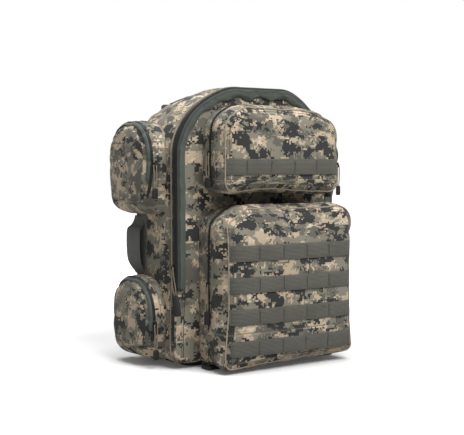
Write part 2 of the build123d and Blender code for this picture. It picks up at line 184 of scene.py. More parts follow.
def camo(name, tint=1.0):
    """Pixelled three-tone print over woven polyester: noise read once per square cell."""
    m, nt, bs = new_mat(name)
    uv = uvmap(nt)
    cell = 0.0029
    c1 = vmath(nt, "FLOOR", vmath(nt, "SCALE", uv))
    c1.node.inputs[0].links[0].from_node.inputs["Scale"].default_value = 1 / cell
    c2 = vmath(nt, "FLOOR", vmath(nt, "SCALE", uv))
    c2.node.inputs[0].links[0].from_node.inputs["Scale"].default_value = 1 / (cell * 3)
    white = N(nt, "ShaderNodeTexWhiteNoise", noise_dimensions="3D")
    L(nt, c1, white.inputs["Vector"])
    white3 = N(nt, "ShaderNodeTexWhiteNoise", noise_dimensions="3D")
    L(nt, c2, white3.inputs["Vector"])
    jitter = smath(nt, "MULTIPLY_ADD", white.outputs[0], 0.085, smath(nt, "MULTIPLY_ADD", white3.outputs[0], 0.07, -0.0775))

    def mask(seed, fx, fy, thr, detail=3.5):
        v = vmath(nt, "ADD", vmath(nt, "MULTIPLY", c1, (cell * fx, cell * fy, 1.0)), (seed * 7.31, seed * 3.17, seed * 1.93))
        n = noise_tex(nt, v, 1.0, detail, 0.6)
        return smath(nt, "GREATER_THAN", smath(nt, "ADD", n, jitter), thr)

    tan, light = srgb(*CAMO[0]), srgb(*CAMO[1])
    mid, dark = srgb(*CAMO[2]), srgb(*CAMO[3])
    pale = mixcol(nt, mask(13.0, 60, 80, 0.60), light, srgb(*CAMO[4]))
    col = mixcol(nt, mask(1.0, 24, 36, 0.515), tan, pale)
    col = mixcol(nt, mask(5.0, 26, 38, 0.555), col, mid)
    col = mixcol(nt, mask(9.0, 28, 42, 0.555), col, dark)
    # faded and slightly soiled areas
    big = noise_tex(nt, coords(nt), 14.0, 3.0)
    fade = N(nt, "ShaderNodeMapRange")
    fade.inputs["From Min"].default_value = 0.3
    fade.inputs["From Max"].default_value = 0.7
    fade.inputs["To Min"].default_value = 0.86 * tint
    fade.inputs["To Max"].default_value = 1.06 * tint
    L(nt, big, fade.inputs["Value"])
    col = mixcol(nt, 1.0, col, fade.outputs[0], "MULTIPLY")
    geo = N(nt, "ShaderNodeNewGeometry")
    wear = N(nt, "ShaderNodeMapRange")
    wear.inputs["From Min"].default_value = 0.52
    wear.inputs["From Max"].default_value = 0.60
    wear.inputs["To Max"].default_value = 0.22
    L(nt, geo.outputs["Pointiness"], wear.inputs["Value"])
    col = mixcol(nt, wear.outputs[0], col, srgb(200, 192, 176))
    L(nt, col, bs.inputs["Base Color"])
    h = smath(nt, "MULTIPLY_ADD", noise_tex(nt, coords(nt), 160.0, 3.0), 0.8, weave_height(nt, uv, 0.0009))
    bump(nt, bs, h, 0.0003, 0.55)
    rr = N(nt, "ShaderNodeMapRange")
    rr.inputs["To Min"].default_value = 0.72
    rr.inputs["To Max"].default_value = 0.95
    L(nt, big, rr.inputs["Value"])
    L(nt, rr.outputs[0], bs.inputs["Roughness"])
    bs.inputs["Sheen Weight"].default_value = 0.12
    bs.inputs["Specular IOR Level"].default_value = 0.25
    return m


def fabric(name, rgb, rgb2, pitch=0.0011, rough=0.85, strength=0.5, sheen=0.1, ribs=None, spec=0.3, grain=220.0):
    """Plain or ribbed woven cloth. ribs: pitch of lengthwise ribs along u or v, as (axis, pitch)."""
    m, nt, bs = new_mat(name)
    uv = uvmap(nt)
    n = noise_tex(nt, coords(nt), grain, 4.0)
    big = noise_tex(nt, coords(nt), 22.0, 2.0)
    fac = smath(nt, "MULTIPLY_ADD", n, 0.7, smath(nt, "MULTIPLY_ADD", big, 0.9, -0.3))
    fac.node.use_clamp = True
    h = weave_height(nt, uv, pitch)
    if ribs:
        s = N(nt, "ShaderNodeSeparateXYZ")
        L(nt, uv, s.inputs[0])
        r = smath(nt, "SINE", smath(nt, "MULTIPLY", s.outputs[ribs[0]], 2 * PI / ribs[1]))
        h = smath(nt, "MULTIPLY_ADD", r, 1.3, h)
        fac = smath(nt, "MULTIPLY_ADD", r, 0.16, fac)
        fac.node.use_clamp = True
    L(nt, mixcol(nt, fac, srgb(*rgb), srgb(*rgb2)), bs.inputs["Base Color"])
    bump(nt, bs, smath(nt, "MULTIPLY_ADD", n, 0.6, h), 0.0003, strength)
    L(nt, smath(nt, "MULTIPLY_ADD", n, 0.2, rough - 0.1), bs.inputs["Roughness"])
    bs.inputs["Sheen Weight"].default_value = sheen
    bs.inputs["Specular IOR Level"].default_value = spec
    return m


def mesh_cloth(name):
    """Black spacer mesh: hexagonal-looking dimples over foam."""
    m, nt, bs = new_mat(name)
    v = N(nt, "ShaderNodeTexVoronoi", feature="F1")
    v.inputs["Scale"].default_value = 420.0
    v.inputs["Randomness"].default_value = 0.15
    L(nt, uvmap(nt), v.inputs["Vector"])
    ramp = N(nt, "ShaderNodeMapRange")
    ramp.inputs["From Min"].default_value = 0.2
    ramp.inputs["From Max"].default_value = 0.55
    L(nt, v.outputs["Distance"], ramp.inputs["Value"])
    L(nt, mixcol(nt, ramp.outputs[0], srgb(40, 42, 41), srgb(86, 88, 85)), bs.inputs["Base Color"])
    bump(nt, bs, ramp.outputs[0], 0.0006, 0.6)
    L(nt, smath(nt, "MULTIPLY_ADD", ramp.outputs[0], 0.15, 0.75), bs.inputs["Roughness"])
    return m


def hard(name, rgb, rgb2, rough=0.45, metal=0.0, scale=90.0, strength=0.2):
    """Moulded plastic, enamelled metal or rubber with fine grain and worn edges."""
    m, nt, bs = new_mat(name)
    n = noise_tex(nt, coords(nt), scale, 4.0)
    fine = noise_tex(nt, coords(nt), scale * 12, 2.0)
    col = mixcol(nt, n, srgb(*rgb), srgb(*rgb2))
    geo = N(nt, "ShaderNodeNewGeometry")
    wear = N(nt, "ShaderNodeMapRange")
    wear.inputs["From Min"].default_value = 0.54
    wear.inputs["From Max"].default_value = 0.66
    wear.inputs["To Max"].default_value = 0.5
    L(nt, geo.outputs["Pointiness"], wear.inputs["Value"])
    col = mixcol(nt, wear.outputs[0], col, srgb(*[min(255, c + 45) for c in rgb2]))
    L(nt, col, bs.inputs["Base Color"])
    L(nt, smath(nt, "MULTIPLY_ADD", fine, 0.25, rough - 0.1), bs.inputs["Roughness"])
    bump(nt, bs, fine, 0.0001, strength)
    bs.inputs["Metallic"].default_value = metal
    return m


M_CAMO = camo("camo_fabric")
M_LINING = fabric("lining", (92, 94, 84), (112, 113, 102), pitch=0.0012, strength=0.3)
M_WEB = fabric("webbing", (86, 86, 78), (108, 107, 99), pitch=0.0016, ribs=(1, 0.0021), strength=0.7)
M_WEB_DARK = fabric("webbing_dark", (79, 81, 76), (113, 115, 109), pitch=0.0016, ribs=(1, 0.0021), strength=0.7)
M_HANDLE = fabric("webbing_handle", (92, 93, 87), (130, 130, 123), pitch=0.0016, ribs=(1, 0.0021), strength=0.7)
M_DARK = fabric("dark_fabric", (58, 60, 56), (82, 84, 79), pitch=0.0014, strength=0.6)
M_FLAP = fabric("storm_flap_dark", (42, 47, 43), (55, 60, 55), pitch=0.0009, rough=0.62, strength=0.35, sheen=0.2, spec=0.45)
M_FLAP_LIGHT = fabric("storm_flap_light", (67, 76, 69), (87, 95, 87), pitch=0.0009, rough=0.6, strength=0.35, sheen=0.2, spec=0.45)
M_BIND = fabric("binding_tape", (148, 136, 116), (180, 167, 146), pitch=0.0014, ribs=(0, 0.0018), strength=0.6)
M_THREAD = fabric("thread", (74, 72, 62), (104, 100, 88), pitch=0.0006, ribs=(0, 0.0007), strength=0.8)
M_TACK = fabric("bar_tack_thread", (112, 106, 92), (126, 119, 104), pitch=0.0006, ribs=(1, 0.0009), strength=0.9)
M_MESH = mesh_cloth("spacer_mesh")
M_TAPE = fabric("zip_tape", (22, 22, 21), (36, 36, 34), pitch=0.0008, ribs=(0, 0.0016), strength=0.6)
M_TEETH = hard("zip_teeth", (20, 20, 20), (34, 34, 33), rough=0.4)
M_METAL = hard("black_metal", (26, 26, 26), (44, 44, 43), rough=0.35, metal=0.6)
M_CORD = fabric("pull_cord", (128, 116, 96), (168, 155, 132), pitch=0.0012, ribs=(0, 0.0016), strength=0.9)
M_RUBBER = hard("pull_grip", (24, 24, 23), (38, 38, 36), rough=0.6)
M_PLASTIC = hard("black_plastic", (22, 22, 22), (36, 36, 36), rough=0.5, scale=60)
M_SHEET = hard("plastic_sheet", (34, 35, 34), (48, 49, 47), rough=0.5, scale=30)
SLOT = {}


# ------------------------------------------------------------------ mesh helpers
def mk(name, verts, faces, mats, uvs=None, midx=None, smooth=True):
    """verts in mm. uvs: per-face lists of (u, v) in mm. Box projection stands in where uvs is None."""
    me = bpy.data.meshes.new(name)
    me.from_pydata([(v[0] * MM, v[1] * MM, v[2] * MM) for v in verts], [], [tuple(f) for f in faces])
    lay = me.uv_layers.new(name="fabric")
    flat = np.zeros(len(me.loops) * 2)
    if uvs is not None:
        flat = np.array([c * MM for f in uvs for p in f for c in p])
    else:
        k = 0
        for p in me.polygons:
            n = p.normal
            ax = max(range(3), key=lambda i: abs(n[i]))
            ij = ((1, 2), (0, 2), (0, 1))[ax]
            for vi in p.vertices:
                co = me.vertices[vi].co
                flat[k], flat[k + 1] = co[ij[0]], co[ij[1]]
                k += 2
    lay.data.foreach_set("uv", flat)
    for m in (mats if isinstance(mats, (list, tuple)) else [mats]):
        me.materials.append(m)
    if midx is not None:
        me.polygons.foreach_set("material_index", midx)
    me.polygons.foreach_set("use_smooth", [smooth] * len(me.polygons))
    me.validate()
    me.update()
    ob = bpy.data.objects.new(name, me)
    SC.collection.objects.link(ob)
    return ob


def modify(ob, kind, **kw):
    m = ob.modifiers.new(kind.lower(), kind)
    for k, v in kw.items():
        setattr(m, k, v)
    return m


def place(ob, body, slot, *nodes):
    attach(ob, body)
    if nodes:
        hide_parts(*nodes)
    return ob


def fbm(v, scale, seed=0.0, octs=3):
    return noise.fractal(Vector((v[0] / scale + seed, v[1] / scale + seed * 1.7, v[2] / scale - seed)), 1.0, 2.0, octs)


class Geo:
    """Collects several small shapes into one mesh with UVs."""
    def __init__(s):
        s.v, s.f, s.uv, s.m = [], [], [], []

    def add(s, verts, faces, uvs, mat=0):
        o = len(s.v)
        s.v += [tuple(v) for v in verts]
        s.f += [tuple(i + o for i in f) for f in faces]
        s.uv += uvs
        s.m += [mat] * len(faces)

    def make(s, name, mats, smooth=True):
        return mk(name, s.v, s.f, mats, s.uv, s.m, smooth)


def frames_along(path, up):
    """Tangent, side and normal at each point, with up as the wanted normal (one vector or one per point)."""
    P = [Vector(p) for p in path]
    out = []
    for i in range(len(P)):
        t = (P[min(i + 1, len(P) - 1)] - P[max(i - 1, 0)]).normalized()
        n = Vector(up[i] if isinstance(up, list) else up)
        n = (n - t * n.dot(t))
        n = n.normalized() if n.length > 1e-6 else t.orthogonal().normalized()
        out.append((P[i], t, t.cross(n), n))
    return out


def sweep(geo, path, up, section, closed=False, mat=0, cap=True, scale=None, uoff=0.0, voff=0.0):
    """section: list of (side, normal) in mm. scale: optional list of (side factor, normal factor)."""
    fr = frames_along(path, up)
    if closed:
        P = [Vector(p) for p in path]
        n = len(P)
        fr = []
        for i in range(n):
            t = (P[(i + 1) % n] - P[i - 1]).normalized()
            u = Vector(up[i] if isinstance(up, list) else up)
            u = (u - t * u.dot(t)).normalized()
            fr.append((P[i], t, t.cross(u), u))
    k = len(section)
    verts, ln, acc = [], [], 0.0
    for i, (p, t, s, n) in enumerate(fr):
        if i:
            acc += (p - fr[i - 1][0]).length
        ln.append(acc)
        a, b = scale[i] if scale else (1, 1)
        for q in section:
            verts.append(p + s * (q[0] * a) + n * (q[1] * b))
    per = [0.0]
    for i in range(k):
        q, r = section[i], section[(i + 1) % k]
        per.append(per[-1] + math.hypot(r[0] - q[0], r[1] - q[1]))
    faces, uvs = [], []
    cnt = len(fr) if closed else len(fr) - 1
    for i in range(cnt):
        j = (i + 1) % len(fr)
        l0, l1 = ln[i] + uoff, (ln[j] if j else acc + 1.0) + uoff
        for c in range(k):
            d = (c + 1) % k
            faces.append((i * k + c, i * k + d, j * k + d, j * k + c))
            uvs.append([(l0, per[c] + voff), (l0, per[c + 1] + voff), (l1, per[c + 1] + voff), (l1, per[c] + voff)])
    if cap and not closed:
        for idx, rev in ((0, True), (len(fr) - 1, False)):
            ring = [idx * k + c for c in range(k)]
            pts = [(section[c][0], section[c][1]) for c in range(k)]
            if rev:
                ring, pts = ring[::-1], pts[::-1]
            faces.append(tuple(ring))
            uvs.append(pts)
    geo.add(verts, faces, uvs, mat)


def circle(r, n=8):
    return [(r * cos(2 * PI * i / n), r * sin(2 * PI * i / n)) for i in range(n)]


def flat_section(w, t, crown=0.0, n=6):
    """Rounded flat strap section, w wide and t thick, its lower face on the path."""
    top = [(-w / 2 + w * i / n, t + crown * sin(PI * i / n)) for i in range(n + 1)]
    top[0] = (-w / 2, t * 0.55)
    top[-1] = (w / 2, t * 0.55)
    bot = [(w / 2 - w * i / n, 0.0) for i in range(n + 1)]
    return (bot + top)[::-1]


def pad_section(w, t, n=20, p=3.2):
    """Foam pad section: superellipse, centred."""
    out = []
    for i in range(n):
        a = 2 * PI * i / n
        c, s = cos(a), sin(a)
        out.append((w / 2 * math.copysign(abs(c) ** (2 / p), c), t / 2 * math.copysign(abs(s) ** (2 / p), s)))
    return out


def stitches(geo, path, up, length=3.2, gap=1.5, r=0.38, mat=0, lift=0.25):
    """A run of separate sewn stitches along a path."""
    P = [Vector(p) for p in path]
    seg, acc = [0.0], 0.0
    for i in range(1, len(P)):
        acc += (P[i] - P[i - 1]).length
        seg.append(acc)

    def at(s):
        s = min(max(s, 0), acc)
        i = 1
        while i < len(seg) - 1 and seg[i] < s:
            i += 1
        w = (s - seg[i - 1]) / max(seg[i] - seg[i - 1], 1e-6)
        return P[i - 1].lerp(P[i], w), (Vector(up[i - 1]).lerp(Vector(up[i]), w) if isinstance(up, list) else Vector(up))
    s = 0.0
    sec = [(r * 1.2, 0), (0, r), (-r * 1.2, 0), (0, -r * 0.3)]
    while s + length < acc:
        a, ua = at(s)
        b, ub = at(s + length)
        n = ua.normalized()
        m = (a + b) / 2 + n * (lift + r * 0.6)
        sweep(geo, [a + n * (lift - r), m, b + n * (lift - r)], tuple(n), sec, mat=mat)
        s += length + gap


# ------------------------------------------------------------------ arched shells
class Arch:
    """Rows of a rectangle with rounded corners. a runs across, b runs up, i is an inset."""
    def __init__(s, hw, b0, b1, rt, rb, step, marks=()):
        s.hw, s.b0, s.b1, s.rt, s.rb = hw, b0, b1, rt, rb
        rows = []
        nb = max(3, round(rb * PI / 2 / step))
        rows += [("b", k / nb * PI / 2) for k in range(nb)]
        cuts = [b0 + rb] + [m for m in sorted(marks) if b0 + rb + 1 < m < b1 - rt - 1] + [b1 - rt]
        for p, q in zip(cuts, cuts[1:]):
            n = max(1, round((q - p) / step))
            rows += [("s", p + (q - p) * k / n) for k in range(n)]
        nt = max(4, round(rt * PI / 2 / step))
        rows += [("t", k / nt * PI / 2) for k in range(nt + 1)]
        s.rows, s.J = rows, len(rows) - 1
        s.M = 2 * max(4, round(hw / step))
        M, J = s.M, s.J
        s.ring = [(0, c) for c in range(M + 1)] + [(j, M) for j in range(1, J + 1)] + [(J, c) for c in range(M - 1, -1, -1)] + [(j, 0) for j in range(J - 1, 0, -1)]

    def row(s, j, i=0.0):
        k, v = s.rows[j]
        if k == "b":
            r = max(s.rb - i, 0.5)
            return s.hw - s.rb + r * sin(v), s.b0 + s.rb - r * cos(v)
        if k == "s":
            return s.hw - i, v
        r = max(s.rt - i, 0.5)
        return s.hw - s.rt + r * cos(v), s.b1 - s.rt + r * sin(v)

    def pt(s, j, c, i=0.0):
        w, b = s.row(j, i)
        return w * (2 * c / s.M - 1), b


class Shell:
    """Closed arched box. rings: list of (inset, d) from the front face's edge to the back face's edge. d grows outwards."""
    def __init__(s, A, rings, to_world, uv0=(0, 0), bulge_face=0.0, bulge_side=0.0, wrinkle=0.0, seed=1.0, mid=None):
        s.A, s.rings, s.to_world = A, rings, to_world
        M, J = A.M, A.J
        P, s.face_id, s.ring_id, s.back_id = [], {}, {}, {}
        # front grid
        for j in range(J + 1):
            for c in range(M + 1):
                s.face_id[j, c] = len(P)
                a, b = A.pt(j, c, rings[0][0])
                P.append((a, rings[0][1], b))
        for k, (i, d) in enumerate(rings):
            for q, (j, c) in enumerate(A.ring):
                if k == 0:
                    s.ring_id[k, q] = s.face_id[j, c]
                else:
                    s.ring_id[k, q] = len(P)
                    a, b = A.pt(j, c, i)
                    P.append((a, d, b))
        K = len(rings) - 1
        edge = {jc: s.ring_id[K, q] for q, jc in enumerate(A.ring)}
        for j in range(J + 1):
            for c in range(M + 1):
                if (j, c) in edge:
                    s.back_id[j, c] = edge[j, c]
                else:
                    s.back_id[j, c] = len(P)
                    a, b = A.pt(j, c, rings[-1][0])
                    P.append((a, rings[-1][1], b))
        # puffed rest shape: the face is crowned, and the sides swell between the front and the back
        bc, hb = (A.b0 + A.b1) / 2, (A.b1 - A.b0) / 2
        dmin, dmax = rings[-1][1], rings[0][1]
        co = []
        for (a, d, b) in P:
            u, v = min(1, abs(a) / A.hw), min(1, abs(b - bc) / hb)
            if abs(d - dmax) < 1e-6:
                d += bulge_face * (1 - u ** 2.4) * (1 - v ** 2.4)
            t = (d - dmin) / max(dmax - dmin, 1e-6)
            g = bulge_side * max(0.0, sin(PI * min(max(t, 0), 1)))
            r = max(u, v, 1e-6)
            a2 = a + (g * (u / r) * math.copysign(1, a) if u > 0.75 else 0)
            b2 = b + (g * (v / r) * math.copysign(1, b - bc) if v > 0.75 and b > bc else 0)
            co.append(Vector((a2, d, b2)))
        s.co = co
        faces, tag, uvs = [], [], []
        for j in range(J):
            for c in range(M):
                q = [(j, c), (j, c + 1), (j + 1, c + 1), (j + 1, c)]
                faces.append([s.face_id[x] for x in q])
                tag.append(("face", j, c))
                uvs.append([(A.pt(*x)[0] + uv0[0], A.pt(*x)[1] + uv0[1]) for x in q])
        R = len(A.ring)
        arc, acc = [0.0], 0.0
        for q in range(1, R + 1):
            p0, p1 = A.pt(*A.ring[q - 1]), A.pt(*A.ring[q % R])
            acc += math.hypot(p1[0] - p0[0], p1[1] - p0[1])
            arc.append(acc)
        dep, acc = [0.0], 0.0
        for k in range(1, K + 1):
            acc += math.hypot(rings[k][0] - rings[k - 1][0], rings[k][1] - rings[k - 1][1])
            dep.append(acc)
        for k in range(K):
            for q in range(R):
                q2 = (q + 1) % R
                faces.append([s.ring_id[k, q2], s.ring_id[k, q], s.ring_id[k + 1, q], s.ring_id[k + 1, q2]])
                tag.append(("rim", k, q))
                uvs.append([(dep[k] + uv0[0] + 300, arc[q + 1] + uv0[1]), (dep[k] + uv0[0] + 300, arc[q] + uv0[1]), (dep[k + 1] + uv0[0] + 300, arc[q] + uv0[1]), (dep[k + 1] + uv0[0] + 300, arc[q + 1] + uv0[1])])
        for j in range(J):
            for c in range(M):
                q = [(j, c), (j + 1, c), (j + 1, c + 1), (j, c + 1)]
                faces.append([s.back_id[x] for x in q])
                tag.append(("back", j, c))
                uvs.append([(A.pt(*x)[0] + uv0[0] + 700, A.pt(*x)[1] + uv0[1]) for x in q])
        s.faces, s.tag, s.uvs = faces, tag, uvs
        s.wrinkle, s.seed = wrinkle, seed
        s.world = [Vector(to_world(*c)) for c in co]
        # orientation of the map decides the winding
        c0 = s.world[s.face_id[J // 2, M // 2]]
        f = faces[(J // 2) * M + M // 2]
        w = s.world
        nrm = (w[f[1]] - w[f[0]]).cross(w[f[2]] - w[f[1]])
        out = Vector(to_world(0, 1, 0)) - Vector(to_world(0, 0, 0))
        s.flip = nrm.dot(out) < 0

    def normals(s):
        n = [Vector((0, 0, 0)) for _ in s.world]
        for f in s.faces:
            a, b, c, d = [s.world[i] for i in f]
            x = (c - a).cross(d - b)
            if s.flip:
                x = -x
            for i in f:
                n[i] += x
        return [x.normalized() if x.length > 0 else Vector((0, 0, 1)) for x in n]

    def crease(s, hold=()):
        """Fine folds left in the cloth after it is stuffed."""
        if not s.wrinkle:
            return
        ns = s.normals()
        for i, (p, n) in enumerate(zip(s.world, ns)):
            if i in hold:
                continue
            f1 = fbm(p, 34, s.seed, 2)
            ridge = 1 - abs(fbm((p[0] * 0.7, p[1], p[2] * 1.25), 26, s.seed + 3.1, 2)) * 2.2
            s.world[i] = p + n * (s.wrinkle * (0.55 * f1 + 0.45 * max(-1, min(1, ridge))))

    def part(s, name, keep, body, slot, nodes, mats=None, thick=1.6, mirror=False):
        """Keeps the faces the function accepts and gives them a lining."""
        sel = [i for i, t in enumerate(s.tag) if keep(t)]
        used = sorted({v for i in sel for v in s.faces[i]})
        idx = {v: k for k, v in enumerate(used)}
        verts = [s.world[v].copy() for v in used]
        faces = [[idx[v] for v in s.faces[i]] for i in sel]
        uvs = [list(s.uvs[i]) for i in sel]
        flip = s.flip
        if mirror:
            verts = [Vector((-v.x, v.y, v.z)) for v in verts]
            uvs = [[(u + 1500, v + 210) for u, v in f] for f in uvs]
            flip = not flip
        if flip:
            faces = [f[::-1] for f in faces]
            uvs = [u[::-1] for u in uvs]
        ob = mk(name, verts, faces, mats or [M_CAMO, M_LINING], uvs)
        modify(ob, "SOLIDIFY", thickness=thick * MM, offset=-1.0, material_offset=1 if not mats or len(mats) > 1 else 0, edge_crease_outer=1.0, edge_crease_inner=1.0, edge_crease_rim=0.6)
        modify(ob, "SUBSURF", levels=1, render_levels=1)
        return place(ob, body, slot, *nodes)

    def bvh(s):
        return BVHTree.FromPolygons([tuple(v) for v in s.world], s.faces)


def edge_rings(face, e, K=4):
    """Rounded front edge, from the face's inset outline to the full outline."""
    return [(e * (1 - sin(k / K * PI / 2)), face - e * (1 - cos(k / K * PI / 2))) for k in range(K + 1)]


def depth_steps(a, b, step):
    n = max(1, round(abs(a - b) / step))
    return [a + (b - a) * k / n for k in range(1, n + 1)]


FRONT = lambda a, d, b: (a, -d, b)
BACK = lambda a, d, b: (-a, d, b)
SPY = 18.0
LEFT = lambda a, d, b: (-d, a + SPY, b)

# ------------------------------------------------------------------ cloth
QUEUE = []


def stuff(shell, pin, pressure, cap, shrink=-0.02, stiff=12.0, bend=0.8, frames=16, lim=None):
    """Lists a shell for the stuffing simulation. pin: {vertex index: weight}."""
    shell.lim = lim
    QUEUE.append((shell, pin, pressure, cap, shrink, stiff, bend, frames))


def run_cloth():
    if not QUEUE:
        return
    obs = []
    for n, (sh, pin, pressure, cap, shrink, stiff, bend, frames) in enumerate(QUEUE):
        me = bpy.data.meshes.new(f"sim{n}")
        fs = [f[::-1] for f in sh.faces] if sh.flip else sh.faces
        me.from_pydata([tuple(v * MM * 10) for v in sh.world], [], fs)
        ob = bpy.data.objects.new(f"sim{n}", me)
        SC.collection.objects.link(ob)
        vg = ob.vertex_groups.new(name="pin")
        for i, w in pin.items():
            vg.add([i], w, "REPLACE")
        m = ob.modifiers.new("Cloth", "CLOTH")
        s = m.settings
        s.quality = 5
        s.mass = 0.3
        s.tension_stiffness = s.compression_stiffness = stiff
        s.shear_stiffness = 5
        s.bending_stiffness = bend
        s.use_pressure = True
        s.uniform_pressure_force = pressure
        s.vertex_group_mass = "pin"
        s.shrink_min = shrink
        s.effector_weights.gravity = 0
        m.collision_settings.use_collision = False
        m.point_cache.frame_start = 1
        m.point_cache.frame_end = frames
        obs.append(ob)
    last = max(q[-1] for q in QUEUE)
    SC.frame_start, SC.frame_end = 1, last
    for f in range(1, last + 1):
        SC.frame_set(f)
    dg = bpy.context.evaluated_depsgraph_get()
    for ob, (sh, pin, pressure, cap, *_r) in zip(obs, QUEUE):
        me = ob.evaluated_get(dg).to_mesh()
        co = np.zeros(len(me.vertices) * 3)
        me.vertices.foreach_get("co", co)
        co = co.reshape(-1, 3) / (MM * 10)
        rest = np.array([tuple(v) for v in sh.world])
        d = co - rest
        ln = np.linalg.norm(d, axis=1, keepdims=True)
        soft = cap * np.tanh(ln / cap) / np.maximum(ln, 1e-9)
        if sh.lim:
            soft = soft * np.array([sh.lim(v) for v in sh.world]).reshape(-1, 1)
        new = rest + d * soft
        print("cloth", ob.name, "moved mean", round(float(ln.mean()), 2), "max", round(float(ln.max()), 2))
        if np.isfinite(new).all():
            sh.world = [Vector(v) for v in new]
        ob.evaluated_get(dg).to_mesh_clear()
    for ob in obs:
        me = ob.data
        bpy.data.objects.remove(ob)
        bpy.data.meshes.remove(me)
    SC.frame_set(1)


def ring_set(sh, *ks):
    return {sh.ring_id[k, q]: 1.0 for k in ks for q in range(len(sh.A.ring))}


def back_set(sh):
    return {i: 1.0 for i in sh.back_id.values()}


# ------------------------------------------------------------------ the stuffed pieces
UP = dict(hw=118, b0=284, b1=431, rt=52, rb=22, fold=310.2, face=139, zip=100)
LP = dict(hw=126, b0=11, b1=267, rt=52, rb=14, fold=66.8, face=163, zip=108)


def front_pocket(D, step, uv0, puff, side, wr, seed):
    A = Arch(D["hw"], D["b0"], D["b1"], D["rt"], D["rb"], step, (D["fold"],))
    rings = edge_rings(D["face"], 13)
    rings += [(0, d) for d in depth_steps(D["face"] - 13, D["zip"], step)]
    kz = len(rings) - 1
    rings += [(0, d) for d in depth_steps(D["zip"], 75.3, step)]
    sh = Shell(A, rings, FRONT, uv0, puff, side, wr, seed)
    sh.kz, sh.fold = kz, D["fold"]
    return sh


def smooth(t):
    t = min(max(t, 0.0), 1.0)
    return t * t * (3 - 2 * t)


def corner_push(p, cx, cz, left, right_):
    """Pulls the top corners of a pocket in or out along the diagonal."""
    dx, dz = abs(p.x) - cx, p.z - cz
    if dx <= 0 or dz <= 0:
        return
    r = math.hypot(dx, dz)
    t = sin(2 * math.atan2(dz, dx)) ** 2 * min(1.0, r / 50)
    k = (left if p.x < 0 else right_) * t / r
    p.x += math.copysign(dx * k, p.x)
    p.z += dz * k


def warp_up(p):
    corner_push(p, 66, 379, -2.5, -2.0)
    p.z -= 7.0 * smooth((p.x - 10) / 90) * smooth((p.z - 340) / 90)
    if p.z < 318:
        k = smooth((318 - p.z) / 32)
        p.z += k * (5.5 - 3.5 * smooth((p.x + 20) / 130) - 1.2 * sin(p.x / 23.0))
    # the full pocket leans out at its lower lip
    out = max(0.0, (-p.y - 100) / 39)
    p.y -= 2.2 * out * smooth((400 - p.z) / 90) * (1 - smooth((312 - p.z) / 24))


def warp_lp(p):
    corner_push(p, 74, 215, -6.5, 9.0)
    if p.z < 62:
        k = smooth((62 - p.z) / 48)
        p.z += k * (0.5 + 5.0 * p.x / 126)
    out = max(0.0, (-p.y - 108) / 55)
    if p.x > 0:
        p.x += 4.0 * out * p.x / 126
    else:
        p.x += (1.5 + 6.5 * smooth((120 - p.z) / 100)) * out * p.x / 126
    if p.z > 205:
        # the unstuffed top of the face settles back
        p.y += (5.0 - 3.0 * p.x / 126) * out * smooth((p.z - 205) / 62)


def warp_side(c, b0, wide):
    def f(p):
        t = min(1.0, max(0.0, (-p.x - 168) / 30))
        front = p.y < SPY
        if p.z < c:
            k = smooth((c - p.z) / (c - b0)) ** 1.4
            p.y = SPY + (p.y - SPY) * (1 - (0.36 if front else 0.16) * t * k)
            p.z += 7.0 * t * smooth((b0 + 30 - p.z) / 30)
        p.x -= wide * t
        if not front:
            p.y += wide * 1.6 * t * min(1.0, (p.y - SPY) / 50)
    return f


def warp_bag(p):
    """The loaded bag leans a little to its left at the front, and its right shoulder has slumped."""
    f = 1 - smooth((p.y + 62) / 92)
    dx, dz = abs(p.x) - 50, p.z - 352
    if dx > 0 and dz > 0:
        r, a = math.hypot(dx, dz), math.atan2(dz, dx)
        if p.x > 0:
            g = 17.0 * sin(2 * a) ** 1.3 * (0.4 + 0.6 * f)
        else:
            g = 6.0 * sin(2 * a) ** 2 * smooth((a - 0.5) / 0.9) * (0.3 + 0.7 * f)
        g *= min(1.0, r / 100) / r
        p.x -= math.copysign(dx * g, p.x)
        p.z -= dz * g
    if p.z > 352:
        p.z -= (p.z - 352) / 115 * (3.5 + 7.5 * (1 - f) * smooth((25 - p.x) / 95))
    u = min(1.0, max(0.0, (p.x + 165) / 330))
    left = -(5.5 * (1 - smooth((p.z - 352) / 90)) + 3.5 * smooth((140 - p.z) / 90))
    right_ = -(1.0 + 8.5 * smooth((p.z - 190) / 30) * (1 - smooth((p.z - 335) / 60)))
    p.x += f * ((1 - u) * left + u * right_)
    return p


def warp_ms(p):
    dx, dz = max(0.0, abs(p.x) - 50), p.z - 352
    if dz <= 0:
        return
    r = math.hypot(dx, dz)
    s = smooth((p.y + 25) / 92)
    k = sin(math.atan2(dz, dx)) ** 2.4
    g = (12.0 * s * k - 2.2 * s * sin(p.x / 15.0 + 1.0)) / r
    p.x -= math.copysign(dx * g, p.x)
    p.z -= dz * g


up = front_pocket(UP, 6.0, (40, 15), 5.0, 0.4, 1.1, 2.2)
lp = front_pocket(LP, 6.0, (410, 130), 5.0, 0.4, 1.2, 5.7)
for sh, wf in ((up, warp_up), (lp, warp_lp)):
    for v in sh.world:
        wf(v)
    pin = back_set(sh)
    pin.update({k: 0.45 for k in ring_set(sh, sh.kz)})
    zf = sh.rings[sh.kz][1]
    stuff(sh, pin, 4.0, 6.0, shrink=-0.025, lim=lambda v, zf=zf: 0.25 + 0.75 * smooth((-v.y - zf - 6) / 22))


def side_pocket(b0, c, fold, uv0, seed):
    A = Arch(66, b0, c + 66, 60, 26, 6.0, (fold,))
    rings = edge_rings(201.5, 11, 4) + [(0, d) for d in depth_steps(190.5, 165.4, 6.0)]
    sh = Shell(A, rings, LEFT, uv0, 5.0, 1.5, 1.7, seed)
    sh.kz, sh.fold = 3, fold
    return sh


